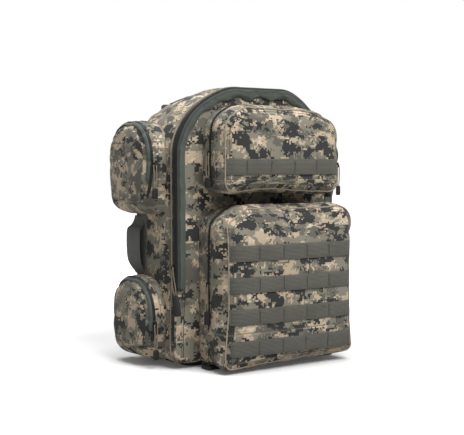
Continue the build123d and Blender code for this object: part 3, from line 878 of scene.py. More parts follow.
us = side_pocket(253, 340, 290.2, (820, 40), 8.3)
ls = side_pocket(11, 80, 46.2, (1080, 320), 11.9)
for sh, wf in ((us, warp_side(340, 253, 4.0)), (ls, warp_side(80, 11, 1.0))):
    for v in sh.world:
        wf(v)
    pin = back_set(sh)
    pin.update({k: 0.5 for k in ring_set(sh, sh.kz)})
    stuff(sh, pin, 4.0, 5.0, shrink=-0.025)

A_main = Arch(164.2, 8.4, 466.4, 114.4, 20, 9.0, (131,))
rings = [(0.8, 71.0), (0, 69.5)] + [(0, d) for d in depth_steps(69.5, -62, 9.0)] + [(2.4, -67.6), (8, -70.0)]
ms = Shell(A_main, rings, FRONT, (300, 700), 0, 1.5, 1.8, 14.1)
for v in ms.world:
    warp_ms(v)
    warp_bag(v)
pin = {i: 1.0 for i in ms.face_id.values()}
pin.update(back_set(ms))
pin.update(ring_set(ms, 0, 1))
for i, v in enumerate(ms.world):
    if v.z < 12:
        pin[i] = 1.0
stuff(ms, pin, 3.0, 4.0, shrink=-0.03, frames=14, lim=lambda v: smooth((v.y + 72) / 45))

A_fp = Arch(164.4, 10.2, 466.4, 114.4, 18, 8.0, (131,))
fp = Shell(A_fp, [(1.6, 75.0), (0.3, 74.3), (0, 73.0), (0.3, 71.6), (1.6, 71.3)], FRONT, (1400, 60), 1.2, 0, 0.7, 17.7)

A_bp = Arch(158.5, 14.5, 454.5, 108.5, 20, 8.0)
bp = Shell(A_bp, [(5, 77.6), (2, 76.4), (0, 74.0), (0.5, 71.5), (3, 70.3)], BACK, (0, 0), 1.5, 0, 0.8, 21.3)

for sh in (fp, bp):
    for v in sh.world:
        warp_bag(v)
run_cloth()
for sh in (up, lp, us, ls):
    sh.crease(set(back_set(sh)))
ms.crease(set(ring_set(ms, 0, 1)) | set(ms.face_id.values()))
fp.crease()
bp.crease()

tagrow = lambda A, j: A.row(j)[1]


def is_cover(sh):
    A = sh.A

    def f(t):
        if t[0] == "face":
            return tagrow(A, t[1]) > sh.fold - 0.3
        if t[0] == "rim":
            R = len(A.ring)
            b0 = A.pt(*A.ring[t[2]])[1]
            b1 = A.pt(*A.ring[(t[2] + 1) % R])[1]
            return t[1] < sh.kz and min(b0, b1) > sh.fold - 0.3
        return False
    return f


for sh, nm in ((up, "upper"), (lp, "lower")):
    cov = is_cover(sh)
    sh.part(f"{nm}_pocket_cover_fabric", cov, f"{nm}_pocket_cover", "camo_fabric", [f"{nm}_pocket_cover"])
    sh.part(f"{nm}_pocket_body_fabric", lambda t: not cov(t) and t[0] != "back", "front_panel", "camo_fabric", [f"{nm}_pocket_body"])
for sh, nm in ((us, "upper"), (ls, "lower")):
    cov = is_cover(sh)
    for side, mir in (("left", False), ("right", True)):
        sh.part(f"{nm}_{side}_flap_fabric", cov, f"{nm}_{side}_flap", "camo_fabric", [f"{nm}_{side}_flap"], mirror=mir)
        sh.part(f"{nm}_{side}_pocket_fabric", lambda t: not cov(t) and t[0] != "back", "bag", "camo_fabric", [f"{nm}_{side}_pocket"], mirror=mir)


def fold_strip(sh, name, mirror=False):
    """Lining strip behind the fold line, so the fabric stays closed when the cover folds down."""
    A = sh.A
    sel = [i for i, t in enumerate(sh.tag) if t[0] == "face" and sh.fold - 14.7 < tagrow(A, t[1]) < sh.fold + 9.7]
    used = sorted({v for i in sel for v in sh.faces[i]})
    idx = {v: k for k, v in enumerate(used)}
    nn = sh.normals()
    flip = sh.flip
    top = [sh.world[v] - nn[v] * 1.9 for v in used]
    low = [sh.world[v] - nn[v] * 2.5 for v in used]
    faces = [[idx[v] for v in sh.faces[i]] for i in sel]
    uvs = [list(sh.uvs[i]) for i in sel]
    if mirror:
        top = [Vector((-v.x, v.y, v.z)) for v in top]
        low = [Vector((-v.x, v.y, v.z)) for v in low]
        flip = not flip
    if flip:
        faces = [f[::-1] for f in faces]
        uvs = [u[::-1] for u in uvs]
    k = len(used)
    count = {}
    for f in faces:
        for q in range(len(f)):
            e = (f[q], f[(q + 1) % len(f)])
            count[e] = 1
    rim = [(x, y) for (x, y) in count if (y, x) not in count]
    g = Geo()
    g.add(top + low, faces + [[v + k for v in f[::-1]] for f in faces] + [[y, x, x + k, y + k] for (x, y) in rim],
          uvs + [u[::-1] for u in uvs] + [[(0, 0), (1, 0), (1, 1), (0, 1)] for _ in rim])
    ob = g.make(name, [M_LINING])
    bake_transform(ob)


fold_strip(up, "upper_pocket_fold_lining")
fold_strip(lp, "lower_pocket_fold_lining")
for sh, nm in ((us, "upper"), (ls, "lower")):
    for side, mir in (("left", False), ("right", True)):
        fold_strip(sh, f"{nm}_{side}_fold_lining", mir)
ms.part("main_shell_fabric", lambda t: t[0] != "face", "bag", "camo_fabric", ["main_shell"], thick=3.0)
ob = fp.part("front_panel_fabric", lambda t: True, "front_panel", "camo_fabric", ["front_panel"], mats=[M_CAMO], thick=0.5)
ob.modifiers.remove(ob.modifiers[0])
ob.data.materials.append(M_LINING)
for f in ob.data.polygons:
    if f.normal.y > 0.6:
        f.material_index = 1
ob = bp.part("back_panel_fabric", lambda t: True, "bag", "dark_fabric", ["back_panel"], mats=[M_DARK], thick=0.5)
ob.modifiers.remove(ob.modifiers[0])


# ------------------------------------------------------------------ zips
def zip_line(sh, k, min_b):
    """Points and outward normals along ring k above min_b, from the left fold over the top to the right fold."""
    A = sh.A
    ns = sh.normals()
    ids = [sh.ring_id[k, q] for q, (j, c) in enumerate(A.ring) if A.pt(j, c)[1] > min_b - 0.3 and j > 0]
    return [sh.world[i].copy() for i in ids], [ns[i] for i in ids]


def chain(geo_tape, geo_teeth, pts, nrm, across, tape=8.0, tooth=1.9, lift=0.3):
    """Woven tape with interlocking teeth. across: unit vector across the chain; not used."""
    P = [p + n * lift for p, n in zip(pts, nrm)]
    sweep(geo_tape, P, nrm, flat_section(tape, 0.7, 0, 2))
    seg, acc = [0.0], 0.0
    for i in range(1, len(P)):
        acc += (P[i] - P[i - 1]).length
        seg.append(acc)
    s, i, flipper = 0.5, 1, 1
    while s < acc - 0.5:
        while seg[i] < s:
            i += 1
        w = (s - seg[i - 1]) / max(seg[i] - seg[i - 1], 1e-6)
        p = P[i - 1].lerp(P[i], w)
        t = (P[i] - P[i - 1]).normalized()
        n = nrm[i - 1].lerp(nrm[i], w).normalized()
        side = t.cross(n)
        c = p + side * (0.8 * flipper) + n * 1.0
        v = [c + side * (x * 1.5) + t * (y * 0.62) + n * (z * 0.75) for x in (-1, 1) for y in (-1, 1) for z in (-1, 1)]
        fs = [(0, 1, 3, 2), (4, 6, 7, 5), (0, 4, 5, 1), (2, 3, 7, 6), (0, 2, 6, 4), (1, 5, 7, 3)]
        geo_teeth.add(v, fs, [[(0, 0), (1, 0), (1, 1), (0, 1)]] * 6)
        s += tooth
        flipper = -flipper


tape_p, teeth_p = Geo(), Geo()
for sh in (up, lp):
    pts, ns = zip_line(sh, sh.kz, sh.fold)
    chain(tape_p, teeth_p, pts, ns, None, tape=5.0, lift=0.1)
place(tape_p.make("pocket_zip_tape", [M_TAPE]), "front_panel", "zip_tape", "pocket_zip_chains")
place(teeth_p.make("pocket_zip_teeth", [M_TEETH], smooth=False), "front_panel", "zip_tape")

tape_b, teeth_b = Geo(), Geo()
for sh in (us, ls):
    pts, ns = zip_line(sh, sh.kz, sh.fold)
    for mir in (1, -1):
        f = lambda v: Vector((v.x * mir, v.y, v.z))
        chain(tape_b, teeth_b, [f(p) for p in pts], [f(n) for n in ns], None, tape=5.0, lift=0.1)
mz, mn = [], []
for q, (j, c) in enumerate(A_main.ring):
    a, b = A_main.pt(j, c)
    if b > 40 and j > 0:
        mz.append(warp_bag(Vector((a, -70.6, b))))
        w0 = A_main.pt(*A_main.ring[q - 1])
        w1 = A_main.pt(*A_main.ring[(q + 1) % len(A_main.ring)])
        t = Vector((w1[0] - w0[0], 0, w1[1] - w0[1])).normalized()
        n = Vector((t.z, 0, -t.x))
        mn.append((n * 0.9 + Vector((0, -0.45, 0))).normalized())
chain(tape_b, teeth_b, mz, mn, None, tape=5.6, lift=0.4)
place(tape_b.make("bag_zip_tape", [M_TAPE]), "bag", "zip_tape", "bag_zip_chains")
place(teeth_b.make("bag_zip_teeth", [M_TEETH], smooth=False), "bag", "zip_tape")


# ------------------------------------------------------------------ storm flap over the main zip
def storm_flap():
    A = Arch(165, 90, 467, 115, 4, 5.0, (131,))
    ids = [(j, c) for (j, c) in A.ring if A.pt(j, c)[1] >= 130.5]
    prof = [(18.6, 75.6), (17.9, 77.4), (15.0, 78.8), (11.5, 79.3), (9.5, 79.2), (6.4, 79.6), (4.2, 79.0), (1.8, 78.0), (-0.8, 76.6), (-1.5, 73.6), (0.2, 74.6), (6.0, 77.2), (12.0, 76.8)]
    EDGE = (7, 8, 9)
    g = Geo()
    verts, uvs, faces, mi = [], [], [], []
    acc, prev = 0.0, None
    ln = []
    for (j, c) in ids:
        x0, b0 = A.pt(j, c)
        if prev:
            acc += math.hypot(x0 - prev[0], b0 - prev[1])
        prev = (x0, b0)
        ln.append(acc)
        up_here = max(0.0, (b0 - 330) / 120)
        for (i, d) in prof:
            wob = (1.3 + 1.8 * up_here) * noise.noise(Vector((acc / 19, 0.3, 4.2))) + 0.7 * noise.noise(Vector((acc / 7, 2.3, i * 0.3)))
            wave = up_here * 2.3 * sin(acc / 7.5 + 0.8) * smooth((i - 8) / 8)
            x, b = A.pt(j, c, i + wave + (0.9 * wob if i > 4 else 0))
            wd = 1.0 if 3 < i < 15 else 0.25
            verts.append(warp_bag(Vector((x, -(d + wd * (wob + 0.4)), b))))
    k = len(prof)
    for i in range(len(ids) - 1):
        for c in range(k):
            d = (c + 1) % k
            faces.append((i * k + c, (i + 1) * k + c, (i + 1) * k + d, i * k + d))
            uvs.append([(ln[i], c * 2.5), (ln[i + 1], c * 2.5), (ln[i + 1], c * 2.5 + 2.5), (ln[i], c * 2.5 + 2.5)])
            mi.append(2 if c in EDGE else 1 if c < 5 else 0)
    faces.append(tuple(range(k)))
    uvs.append([(p[0], p[1]) for p in prof])
    mi.append(0)
    n0 = (len(ids) - 1) * k
    faces.append(tuple(n0 + c for c in range(k))[::-1])
    uvs.append([(p[0], p[1]) for p in prof][::-1])
    mi.append(0)
    ob = mk("storm_flap_fabric", verts, faces, [M_FLAP, M_FLAP_LIGHT, M_TAPE], uvs, mi)
    modify(ob, "SUBSURF", levels=1, render_levels=1)
    return place(ob, "front_panel", "storm_flap_fabric", "storm_flap")


storm_flap()

# binding and seams on the bag and the front panel
bind_b, thread_b, bind_f, thread_f, seam_f = Geo(), Geo(), Geo(), Geo(), Geo()


def arch_line(A, inset, d, min_b, to_world=FRONT):
    return [warp_bag(Vector(to_world(A.pt(j, c, inset)[0], d, A.pt(j, c, inset)[1]))) for (j, c) in A.ring if A.pt(j, c)[1] >= min_b]


def stick(line, tree, lift=0.0):
    """Moves points onto the nearest cloth and returns them with its normals."""
    P, NN = [], []
    for p in line:
        loc, nor, _i, _d = tree.find_nearest(p)
        NN.append(nor.copy())
        P.append(loc + nor * lift)
    return P, NN


def outward(P, NN, c):
    return [n if n.dot(p - c) > 0 else -n for p, n in zip(P, NN)]


ms_t, up_t, lp_t, us_t, ls_t = ms.bvh(), up.bvh(), lp.bvh(), us.bvh(), ls.bvh()
C_MAIN = Vector((0, 0, 220))

# piping where the gusset meets the zip tape, and a row of stitching behind it
line = [p for p in arch_line(A_main, 0, 63.5, 9)]
P, NN = stick(line, ms_t, 0.9)
NN = outward(P, NN, C_MAIN)
sweep(bind_b, P, NN, circle(1.5), closed=True)
for dd in (59.0,):
    P, NN = stick(arch_line(A_main, 0, dd, 9), ms_t, 0.1)
    stitches(thread_b, P, outward(P, NN, C_MAIN))
# rear binding at the back panel
P, NN = stick(arch_line(A_main, 1.0, -64.5, 9), ms_t, 0.9)
NN = outward(P, NN, C_MAIN)
sweep(bind_b, P, NN, circle(1.7), closed=True)
# points for the panel seams on the sides and over the top are found on the cloth; no seam is drawn
for dd in (-20.0,):
    P, NN = stick(arch_line(A_main, 0, dd, 150), ms_t, 0.05)

# the strip that carries on below the storm flap: a seam on the front panel and its stitching
fp_t = fp.bvh()
for sx in (-1, 1):
    line = [warp_bag(Vector((sx * 148.5, -76.5, z))) for z in np.linspace(20, 131, 30)]
    P, NN = stick(line, fp_t, 0.4)
    NN = [Vector((0, -1, 0))] * len(P)
    sweep(seam_f, P, NN, circle(0.55))
    line = [warp_bag(Vector((sx * 151.5, -76.5, z))) for z in np.linspace(20, 131, 30)]
    P, NN = stick(line, fp_t, 0.1)
    stitches(thread_f, P, [Vector((0, -1, 0))] * len(P))


def pocket_trim(sh, tree, D, centre, bg_body, tg_body, bg_cov, tg_cov):
    """Bound edge round the face, split at the fold between the body and the cover."""
    A = sh.A
    for inset, d, r, kind in ((3.0, D["face"] - 3.6, 1.25, "pipe"), (10.5, D["face"] - 0.4, 0, "stitch")):
        wf = warp_up if D is UP else warp_lp
        pts = [(A.pt(j, c), Vector(FRONT(A.pt(j, c, inset)[0], d, A.pt(j, c, inset)[1]))) for (j, c) in A.ring]
        for _ab, v in pts:
            wf(v)
        n = len(pts)
        above = [p[0][1] > D["fold"] + 0.5 for p in pts]
        for want, bg, tg in ((True, bg_cov, tg_cov), (False, bg_body, tg_body)):
            start = next(i for i in range(n) if above[i] == want and above[i - 1] != want)
            run = []
            i = start
            while above[i % n] == want and len(run) < n:
                run.append(pts[i % n][1])
                i += 1
            run = [(pts[start - 1][1] + run[0]) / 2] + run + [(run[-1] + pts[i % n][1]) / 2]
            P, NN = stick(run, tree, 0.5 if kind == "pipe" else 0.05)
            NN = outward(P, NN, centre)
            if kind == "pipe":
                sweep(bg, P, NN, circle(r))
            else:
                stitches(tg, P, NN)


cov_geo = {}
for nm, sh, tree, D in (("upper", up, up_t, UP), ("lower", lp, lp_t, LP)):
    bc, tc = Geo(), Geo()
    centre = Vector((0, -(D["face"] + 75) / 2, (D["b0"] + D["b1"]) / 2))
    pocket_trim(sh, tree, D, centre, bind_f, thread_f, bc, tc)
    # welt above the zip on the cover side
    pts, ns = zip_line(sh, sh.kz - 1, sh.fold)
    stitches(tc, [p + n * 0.05 for p, n in zip(pts, ns)], ns)
    place(bc.make(f"{nm}_cover_binding", [M_BIND]), f"{nm}_pocket_cover", "camo_fabric")
    place(tc.make(f"{nm}_cover_stitching", [M_THREAD]), f"{nm}_pocket_cover", "camo_fabric")

# side pockets: piping where they are sewn to the gusset, and stitching round the flaps
for nm, sh in (("upper", us), ("lower", ls)):
    K = len(sh.rings) - 1
    ns = sh.normals()
    R = len(sh.A.ring)
    base = [sh.world[sh.ring_id[K, q]] for q in range(R)]
    bn = [ns[sh.ring_id[K - 1, q]] for q in range(R)]
    pts, nn = zip_line(sh, sh.kz - 1, sh.fold + 1)
    pts2, nn2 = zip_line(sh, sh.kz + 2, sh.fold + 1)
    for side, mir in (("left", 1), ("right", -1)):
        f = lambda v: Vector((v.x * mir, v.y, v.z))
        sweep(bind_b, [f(p + n * 0.6 + Vector((-1.6, 0, 0))) for p, n in zip(base, bn)], [f(n) for n in bn], circle(1.4), closed=True)
        stitches(thread_b, [f(p) for p in pts2], [f(n) for n in nn2])
        tg = Geo()
        stitches(tg, [f(p) for p in pts], [f(n) for n in nn])
        place(tg.make(f"{nm}_{side}_flap_stitching", [M_THREAD]), f"{nm}_{side}_flap", "camo_fabric")

for nm, sh in (("upper", us), ("lower", ls)):
    ns = sh.normals()
    for side, mir in (("left", 1), ("right", -1)):
        rows = []
        for inset_k in (sh.kz, sh.kz - 1, sh.kz - 2):
            A = sh.A
            ids = [sh.ring_id[inset_k, q] for q, (j, c) in enumerate(A.ring) if A.pt(j, c)[1] > sh.fold + 14 and j > 0]
            rows.append(ids)
        g = Geo()
        verts, faces, uvs = [], [], []
        acc = 0.0
        for q in range(len(rows[0])):
            p0, p1, p2 = (sh.world[r[q]] for r in rows)
            n0, n1, n2 = (ns[r[q]] for r in rows)
            if q:
                acc += (p0 - sh.world[rows[0][q - 1]]).length
            w = 0.8 * noise.noise(Vector((acc / 14, 2.0, 7.7)))
            a = p0.lerp(p1, 0.35) + n0 * 1.5
            b = p1 + n1 * (1.9 + w)
            c = p1.lerp(p2, 0.75) + n2 * (0.9 + 0.6 * w)
            for v, u in ((a, 0), (b, 4), (c, 8)):
                verts.append((v.x * mir, v.y, v.z))
        R = len(rows[0])
        ln = [0.0]
        for q in range(1, R):
            ln.append(ln[-1] + (sh.world[rows[0][q]] - sh.world[rows[0][q - 1]]).length)
        for q in range(R - 1):
            for k in (0, 1):
                f = (q * 3 + k, (q + 1) * 3 + k, (q + 1) * 3 + k + 1, q * 3 + k + 1)
                u = [(ln[q], k * 4), (ln[q + 1], k * 4), (ln[q + 1], k * 4 + 4), (ln[q], k * 4 + 4)]
                faces.append(f if mir > 0 else f[::-1])
                uvs.append(u if mir > 0 else u[::-1])
        g.add(verts, faces, uvs)
        ob = g.make(f"{nm}_{side}_rain_strip", [M_FLAP_LIGHT])
        modify(ob, "SOLIDIFY", thickness=0.0011, offset=0)
        modify(ob, "SUBSURF", levels=1, render_levels=1)
        place(ob, f"{nm}_{side}_flap", "storm_flap_fabric")

place(bind_b.make("bag_binding", [M_BIND]), "bag", "camo_fabric")
place(thread_b.make("bag_stitching", [M_THREAD]), "bag", "camo_fabric")
place(seam_f.make("front_panel_seams", [M_DARK]), "front_panel", "dark_fabric")
place(bind_f.make("front_panel_binding", [M_BIND]), "front_panel", "camo_fabric")
place(thread_f.make("front_panel_stitching", [M_THREAD]), "front_panel", "camo_fabric")


# ------------------------------------------------------------------ ladder webbing
def webbing_row(g, tacks_geo, tree, hw, z0, tacks, face_y, edge):
    z1 = z0 + 25.4
    xs = np.arange(-hw + edge, hw - edge + 0.1, 2.4)

    def surf(x, z):
        hit, _n, _i, _d = tree.ray_cast(Vector((x, -260, z)), Vector((0, 1, 0)))
        return hit.y if hit else face_y
    raw = []
    for x in xs:
        ys = [surf(x, z0 + 25.4 * k / 4) for k in range(5)]
        raw.append([min(y, min(ys) + 1.6) for y in ys])
    # webbing is stiff: each line is smoothed along its length
    arr = np.array(raw)
    for _ in range(3):
        arr[1:-1] = np.minimum(arr[1:-1], (arr[:-2] + arr[1:-1] * 2 + arr[2:]) / 4)
    tk = [t for t in tacks if -hw + edge - 6 < t < hw - edge + 6]
    T = 1.3
    verts, faces, uvs = [], [], []
    nx = len(xs)
    sect = [0, 0.03, 0.27, 0.5, 0.73, 0.97, 1.0]
    ns = len(sect)
    for i, x in enumerate(xs):
        near = min((abs(x - t) for t in tk), default=99)
        lo = max([t for t in tk if t <= x], default=xs[0])
        hi = min([t for t in tk if t > x], default=xs[-1])
        ph = (x - lo) / max(hi - lo, 1)
        loop = 0.9 * max(0.0, sin(PI * min(max(ph, 0), 1))) ** 0.8
        for layer in (0, 1):
            for s in sect:
                y = float(np.interp(s * 4, range(5), arr[i]))
                edge_drop = 0.35 if s in (0, 1.0) else 0
                sagz = -0.5 * loop
                off = 0.25 + loop * (0.75 + 0.25 * sin(PI * s)) + (T - edge_drop if layer else 0)
                verts.append((x, y - off, z0 + 25.4 * s + sagz * 0.4 + 0.35 * noise.noise(Vector((x / 30, z0, s)))))
    k = 2 * ns
    for i in range(nx - 1):
        for c in range(ns - 1):
            a, b = i * k + ns + c, (i + 1) * k + ns + c
            faces.append((a, b, b + 1, a + 1))
            uvs.append([(xs[i], 25.4 * sect[c]), (xs[i + 1], 25.4 * sect[c]), (xs[i + 1], 25.4 * sect[c + 1]), (xs[i], 25.4 * sect[c + 1])])
            a, b = i * k + c, (i + 1) * k + c
            faces.append((a, a + 1, b + 1, b))
            uvs.append([(xs[i], 25.4 * sect[c]), (xs[i], 25.4 * sect[c + 1]), (xs[i + 1], 25.4 * sect[c + 1]), (xs[i + 1], 25.4 * sect[c])])
        for c, rev in ((0, 0), (ns - 1, 1)):
            a, b = i * k + c, (i + 1) * k + c
            q = (a, b, b + ns, a + ns) if not rev else (a, a + ns, b + ns, b)
            faces.append(q)
            uvs.append([(xs[i], 0), (xs[i + 1], 0), (xs[i + 1], 1.3), (xs[i], 1.3)])
    for i in (0, nx - 1):
        ring = [i * k + c for c in range(ns)] + [i * k + ns + c for c in range(ns - 1, -1, -1)]
        if i:
            ring = ring[::-1]
        faces.append(tuple(ring))
        uvs.append([(0, 0)] * len(ring))
    g.add(verts, faces, uvs)
    for t in tk:
        i = int(np.argmin(abs(xs - t)))
        if abs(xs[i] - t) > 4:
            continue
        # dense zigzag thread across the webbing
        pts = []
        n = 15
        for q in range(n + 1):
            s = 0.07 + 0.86 * q / n
            y = float(np.interp(s * 4, range(5), arr[i])) - 0.25 - T - 0.25
            pts.append((t + (1.1 if q % 2 else -1.1), y, z0 + 25.4 * s))
        sweep(tacks_geo, pts, (0, -1, 0), circle(0.36, 5))


UPT = [-82 + 47.3 * k for k in range(-1, 5)]
LPT = [-73.5 + 47.3 * k for k in range(-1, 5)]
g, t = Geo(), Geo()
webbing_row(g, t, up_t, UP["hw"], 318.6, UPT, -139, 2.5)
place(g.make("upper_webbing_strap", [M_WEB]), "upper_pocket_cover", "webbing", "upper_pocket_webbing")
place(t.make("upper_webbing_tacks", [M_TACK]), "upper_pocket_cover", "webbing")
g, t = Geo(), Geo()
for z in (79.4, 130.2, 181.0):
    webbing_row(g, t, lp_t, LP["hw"], z, LPT, -163, 2.5)
place(g.make("lower_webbing_straps", [M_WEB]), "lower_pocket_cover", "webbing", "lower_webbing_upper_rows")
place(t.make("lower_webbing_tacks", [M_TACK]), "lower_pocket_cover", "webbing")
g, t = Geo(), Geo()
webbing_row(g, t, lp_t, LP["hw"], 28.6, LPT, -163, 2.5)
place(g.make("bottom_webbing_strap", [M_WEB]), "front_panel", "webbing", "lower_webbing_bottom_row")
place(t.make("bottom_webbing_tacks", [M_TACK]), "front_panel", "webbing")


# ------------------------------------------------------------------ sliders and pulls
def grip(g, top, down, side, out, length, gw, mat):
    """Moulded end: tapered rounded bar with finger ridges."""
    prof = []
    n = 22
    for i in range(n + 1):
        s = i / n
        w = gw * (4.2 + 0.7 * abs(s - 0.42)) + (0.35 if 0.3 < s < 0.85 and i % 3 == 0 else 0)
        if s < 0.05:
            w *= 0.75
        if s > 0.95:
            w *= 0.85
        prof.append((w, 2.1 + 0.5 * sin(PI * s) + (0.2 if i % 3 == 0 else 0)))
    path = [top + down * (length * i / n) for i in range(n + 1)]
    sweep(g, path, tuple(out), pad_section(2, 2, 12, 3.0), mat=mat, scale=prof)


def pull_piece(name, bar, side, out, cord, glen, gw, body, node, turn, lean, off):
    """Cord loop with a rubber grip. The cord twists by the angle turn on its way down and leans forwards."""
    down = Vector((0, 0, -1))
    fwd = Vector((0, -1, 0)) if abs(out.x) > 0.5 else Vector((0, 0, 0))

    def tw(s):
        a = turn * smooth(s * 1.4)
        return side * cos(a) + out * sin(a), out * cos(a) - side * sin(a)
    g = Geo()
    sweep(g, [bar - side * 2.6, bar, bar + side * 2.6], (0, 0, 1), circle(0.85), mat=0)
    for sg in (-1, 1):
        path, ups = [], []
        for i in range(15):
            s = i / 14
            spread = 2.3 * (1 - s) ** 0.6 + 0.9 + 0.6 * sin(PI * s)
            sd, ot = tw(s)
            path.append(bar + sd * (sg * min(2.4, spread)) + down * (cord * s) + ot * (0.5 * sin(PI * s * 2 + 0.4 * sg)) + fwd * (lean * s) + out * (1.0 * sin(PI * s) + off * s))
            ups.append(tuple(ot))
        sweep(g, path, ups, circle(0.95), mat=0)
    sd, ot = tw(1)
    d2 = (down * cord + fwd * lean).normalized()
    grip(g, bar + fwd * lean + out * off + down * (cord - 1.5), d2, sd, ot, glen, gw, 1)
    ob = g.make(name, [M_CORD, M_RUBBER])
    place(ob, body, "pull_cord", node)


PULLS = [("main", "left", -175.0, -70.6, 168.0, "x", 46, 34, 1.35), ("main", "right", -170.4, -70.0, 168.0, "x", 46, 34, 1.35),
         ("upper", "left", -123.4, -99.5, 353.0, "x", 41, 16, 1.15), ("upper", "right", -123.4, -99.5, 334.0, "x", 41, 16, 1.15),
         ("lower", "left", -131.4, -107.5, 140.0, "x", 44, 22, 1.15), ("lower", "right", -131.4, -107.5, 140.0, "x", 44, 22, 1.15),
         ("upper_side", "left", -196.0, -53.4, 334.0, "y", 39, 17, 1.15), ("upper_side", "right", -196.0, -53.4, 334.0, "y", 39, 17, 1.15),
         ("lower_side", "left", -196.0, -53.4, 74.0, "y", 43, 16, 1.15), ("lower_side", "right", -196.0, -53.4, 74.0, "y", 43, 16, 1.15)]
for nm, side, x, y, z, ax, cord, glen, gw in PULLS:
    mir = 1 if side == "left" else -1
    node = f"{nm}_pull_{side}"
    out = Vector((-mir, 0, 0)) if ax == "x" else Vector((0, -1, 0))
    sd = Vector((0, 1, 0)) if ax == "x" else Vector((1, 0, 0))
    at = Vector((x * mir, y, z))
    turn, lean, off = {"main": (0.8, 11.0, 0.6), "upper": (0.75, 2.0, 2.0), "lower": (0.75, 2.5, 2.0), "upper_side": (0.15, 0.0, 0.0), "lower_side": (0.1, 0.0, 0.0)}[nm]
    pull_piece(f"{nm}_{side}_cord_pull", at, sd, out, cord, glen, gw, node, node, turn * (1 if ax == "x" else -1) * mir, lean, off)


def slider_piece(name, at, side, out, node):
    """Zip slider: a waisted body over the chain and a bridge for the pull."""
    g = Geo()
    down = Vector((0, 0, -1))
    n = 10
    sweep(g, [at + out * 1.9 + down * (-5.2 + 10.4 * i / n) for i in range(n + 1)], tuple(out), pad_section(7.4, 2.6, 14, 3.4),
          scale=[(0.62 + 0.38 * sin(PI * (0.18 + 0.72 * i / n)) ** 0.7, 0.8 if i in (0, n) else 1.0) for i in range(n + 1)])
    sweep(g, [at + out * 0.2 + down * (-4.6 + 9.2 * i / n) for i in range(n + 1)], tuple(out), pad_section(6.6, 1.2, 12, 3.4))
    arch = [(2.6, -3.9), (4.9, -3.5), (6.3, -2.0), (6.6, 0.0), (6.3, 2.0), (4.9, 3.5), (2.6, 3.9)]
    sweep(g, [at + out * o + down * z for o, z in arch], [tuple(out + down * (z * 0.12)) for o, z in arch], pad_section(2.0, 1.1, 8, 3.0))
    place(g.make(name, [M_METAL]), node, "black_metal", node)


for nm, side, x, y, z, ax, cord, glen, gw in PULLS:
    mir = 1 if side == "left" else -1
    out = Vector((-mir, 0, 0)) if ax == "x" else Vector((0, -1, 0))
    sd = Vector((0, 1, 0)) if ax == "x" else Vector((1, 0, 0))
    slider_piece(f"{nm}_{side}_slider", Vector((x * mir, y, z)) - out * 5.2, sd, out, f"{nm}_slider_{side}")

# the right-hand upper side pocket is less full than the left one
for ob in [o for o in SC.objects if o.type == "MESH" and o not in CAD_MESHES]:
    for v in ob.data.vertices:
        if v.co.x > 0.168 and v.co.z > 0.222:
            v.co.x = 0.168 + (v.co.x - 0.168) * 0.76

# ------------------------------------------------------------------ straps, handles and belt
def arc3(a, m, b, n):
    """Points of the circular arc through three points, each (y or x, z)."""
    ax, ay, bx, by, cx, cy = *a, *m, *b
    d = 2 * (ax * (by - cy) + bx * (cy - ay) + cx * (ay - by))
    ux = ((ax * ax + ay * ay) * (by - cy) + (bx * bx + by * by) * (cy - ay) + (cx * cx + cy * cy) * (ay - by)) / d
    uy = ((ax * ax + ay * ay) * (cx - bx) + (bx * bx + by * by) * (ax - cx) + (cx * cx + cy * cy) * (bx - ax)) / d
    r = math.hypot(ax - ux, ay - uy)
    t0, tm, t1 = (math.atan2(p[1] - uy, p[0] - ux) for p in (a, m, b))
    while tm < t0 - PI: tm += 2 * PI
    while tm > t0 + PI: tm -= 2 * PI
    while t1 < tm - PI: t1 += 2 * PI
    while t1 > tm + PI: t1 -= 2 * PI
    return [(ux + r * cos(t0 + (t1 - t0) * k / n), uy + r * sin(t0 + (t1 - t0) * k / n)) for k in range(n + 1)]


def spline(ctrl, n):
    """Catmull-Rom through 2D points."""
    P = [ctrl[0]] + list(ctrl) + [ctrl[-1]]
    out = []
    for i in range(1, len(P) - 2):
        for k in range(n):
            t = k / n
            out.append(tuple(0.5 * (2 * P[i][c] + (P[i + 1][c] - P[i - 1][c]) * t + (2 * P[i - 1][c] - 5 * P[i][c] + 4 * P[i + 1][c] - P[i + 2][c]) * t * t + (3 * P[i][c] - P[i - 1][c] - 3 * P[i + 1][c] + P[i + 2][c]) * t ** 3) for c in (0, 1)))
    out.append(ctrl[-1])
    return out
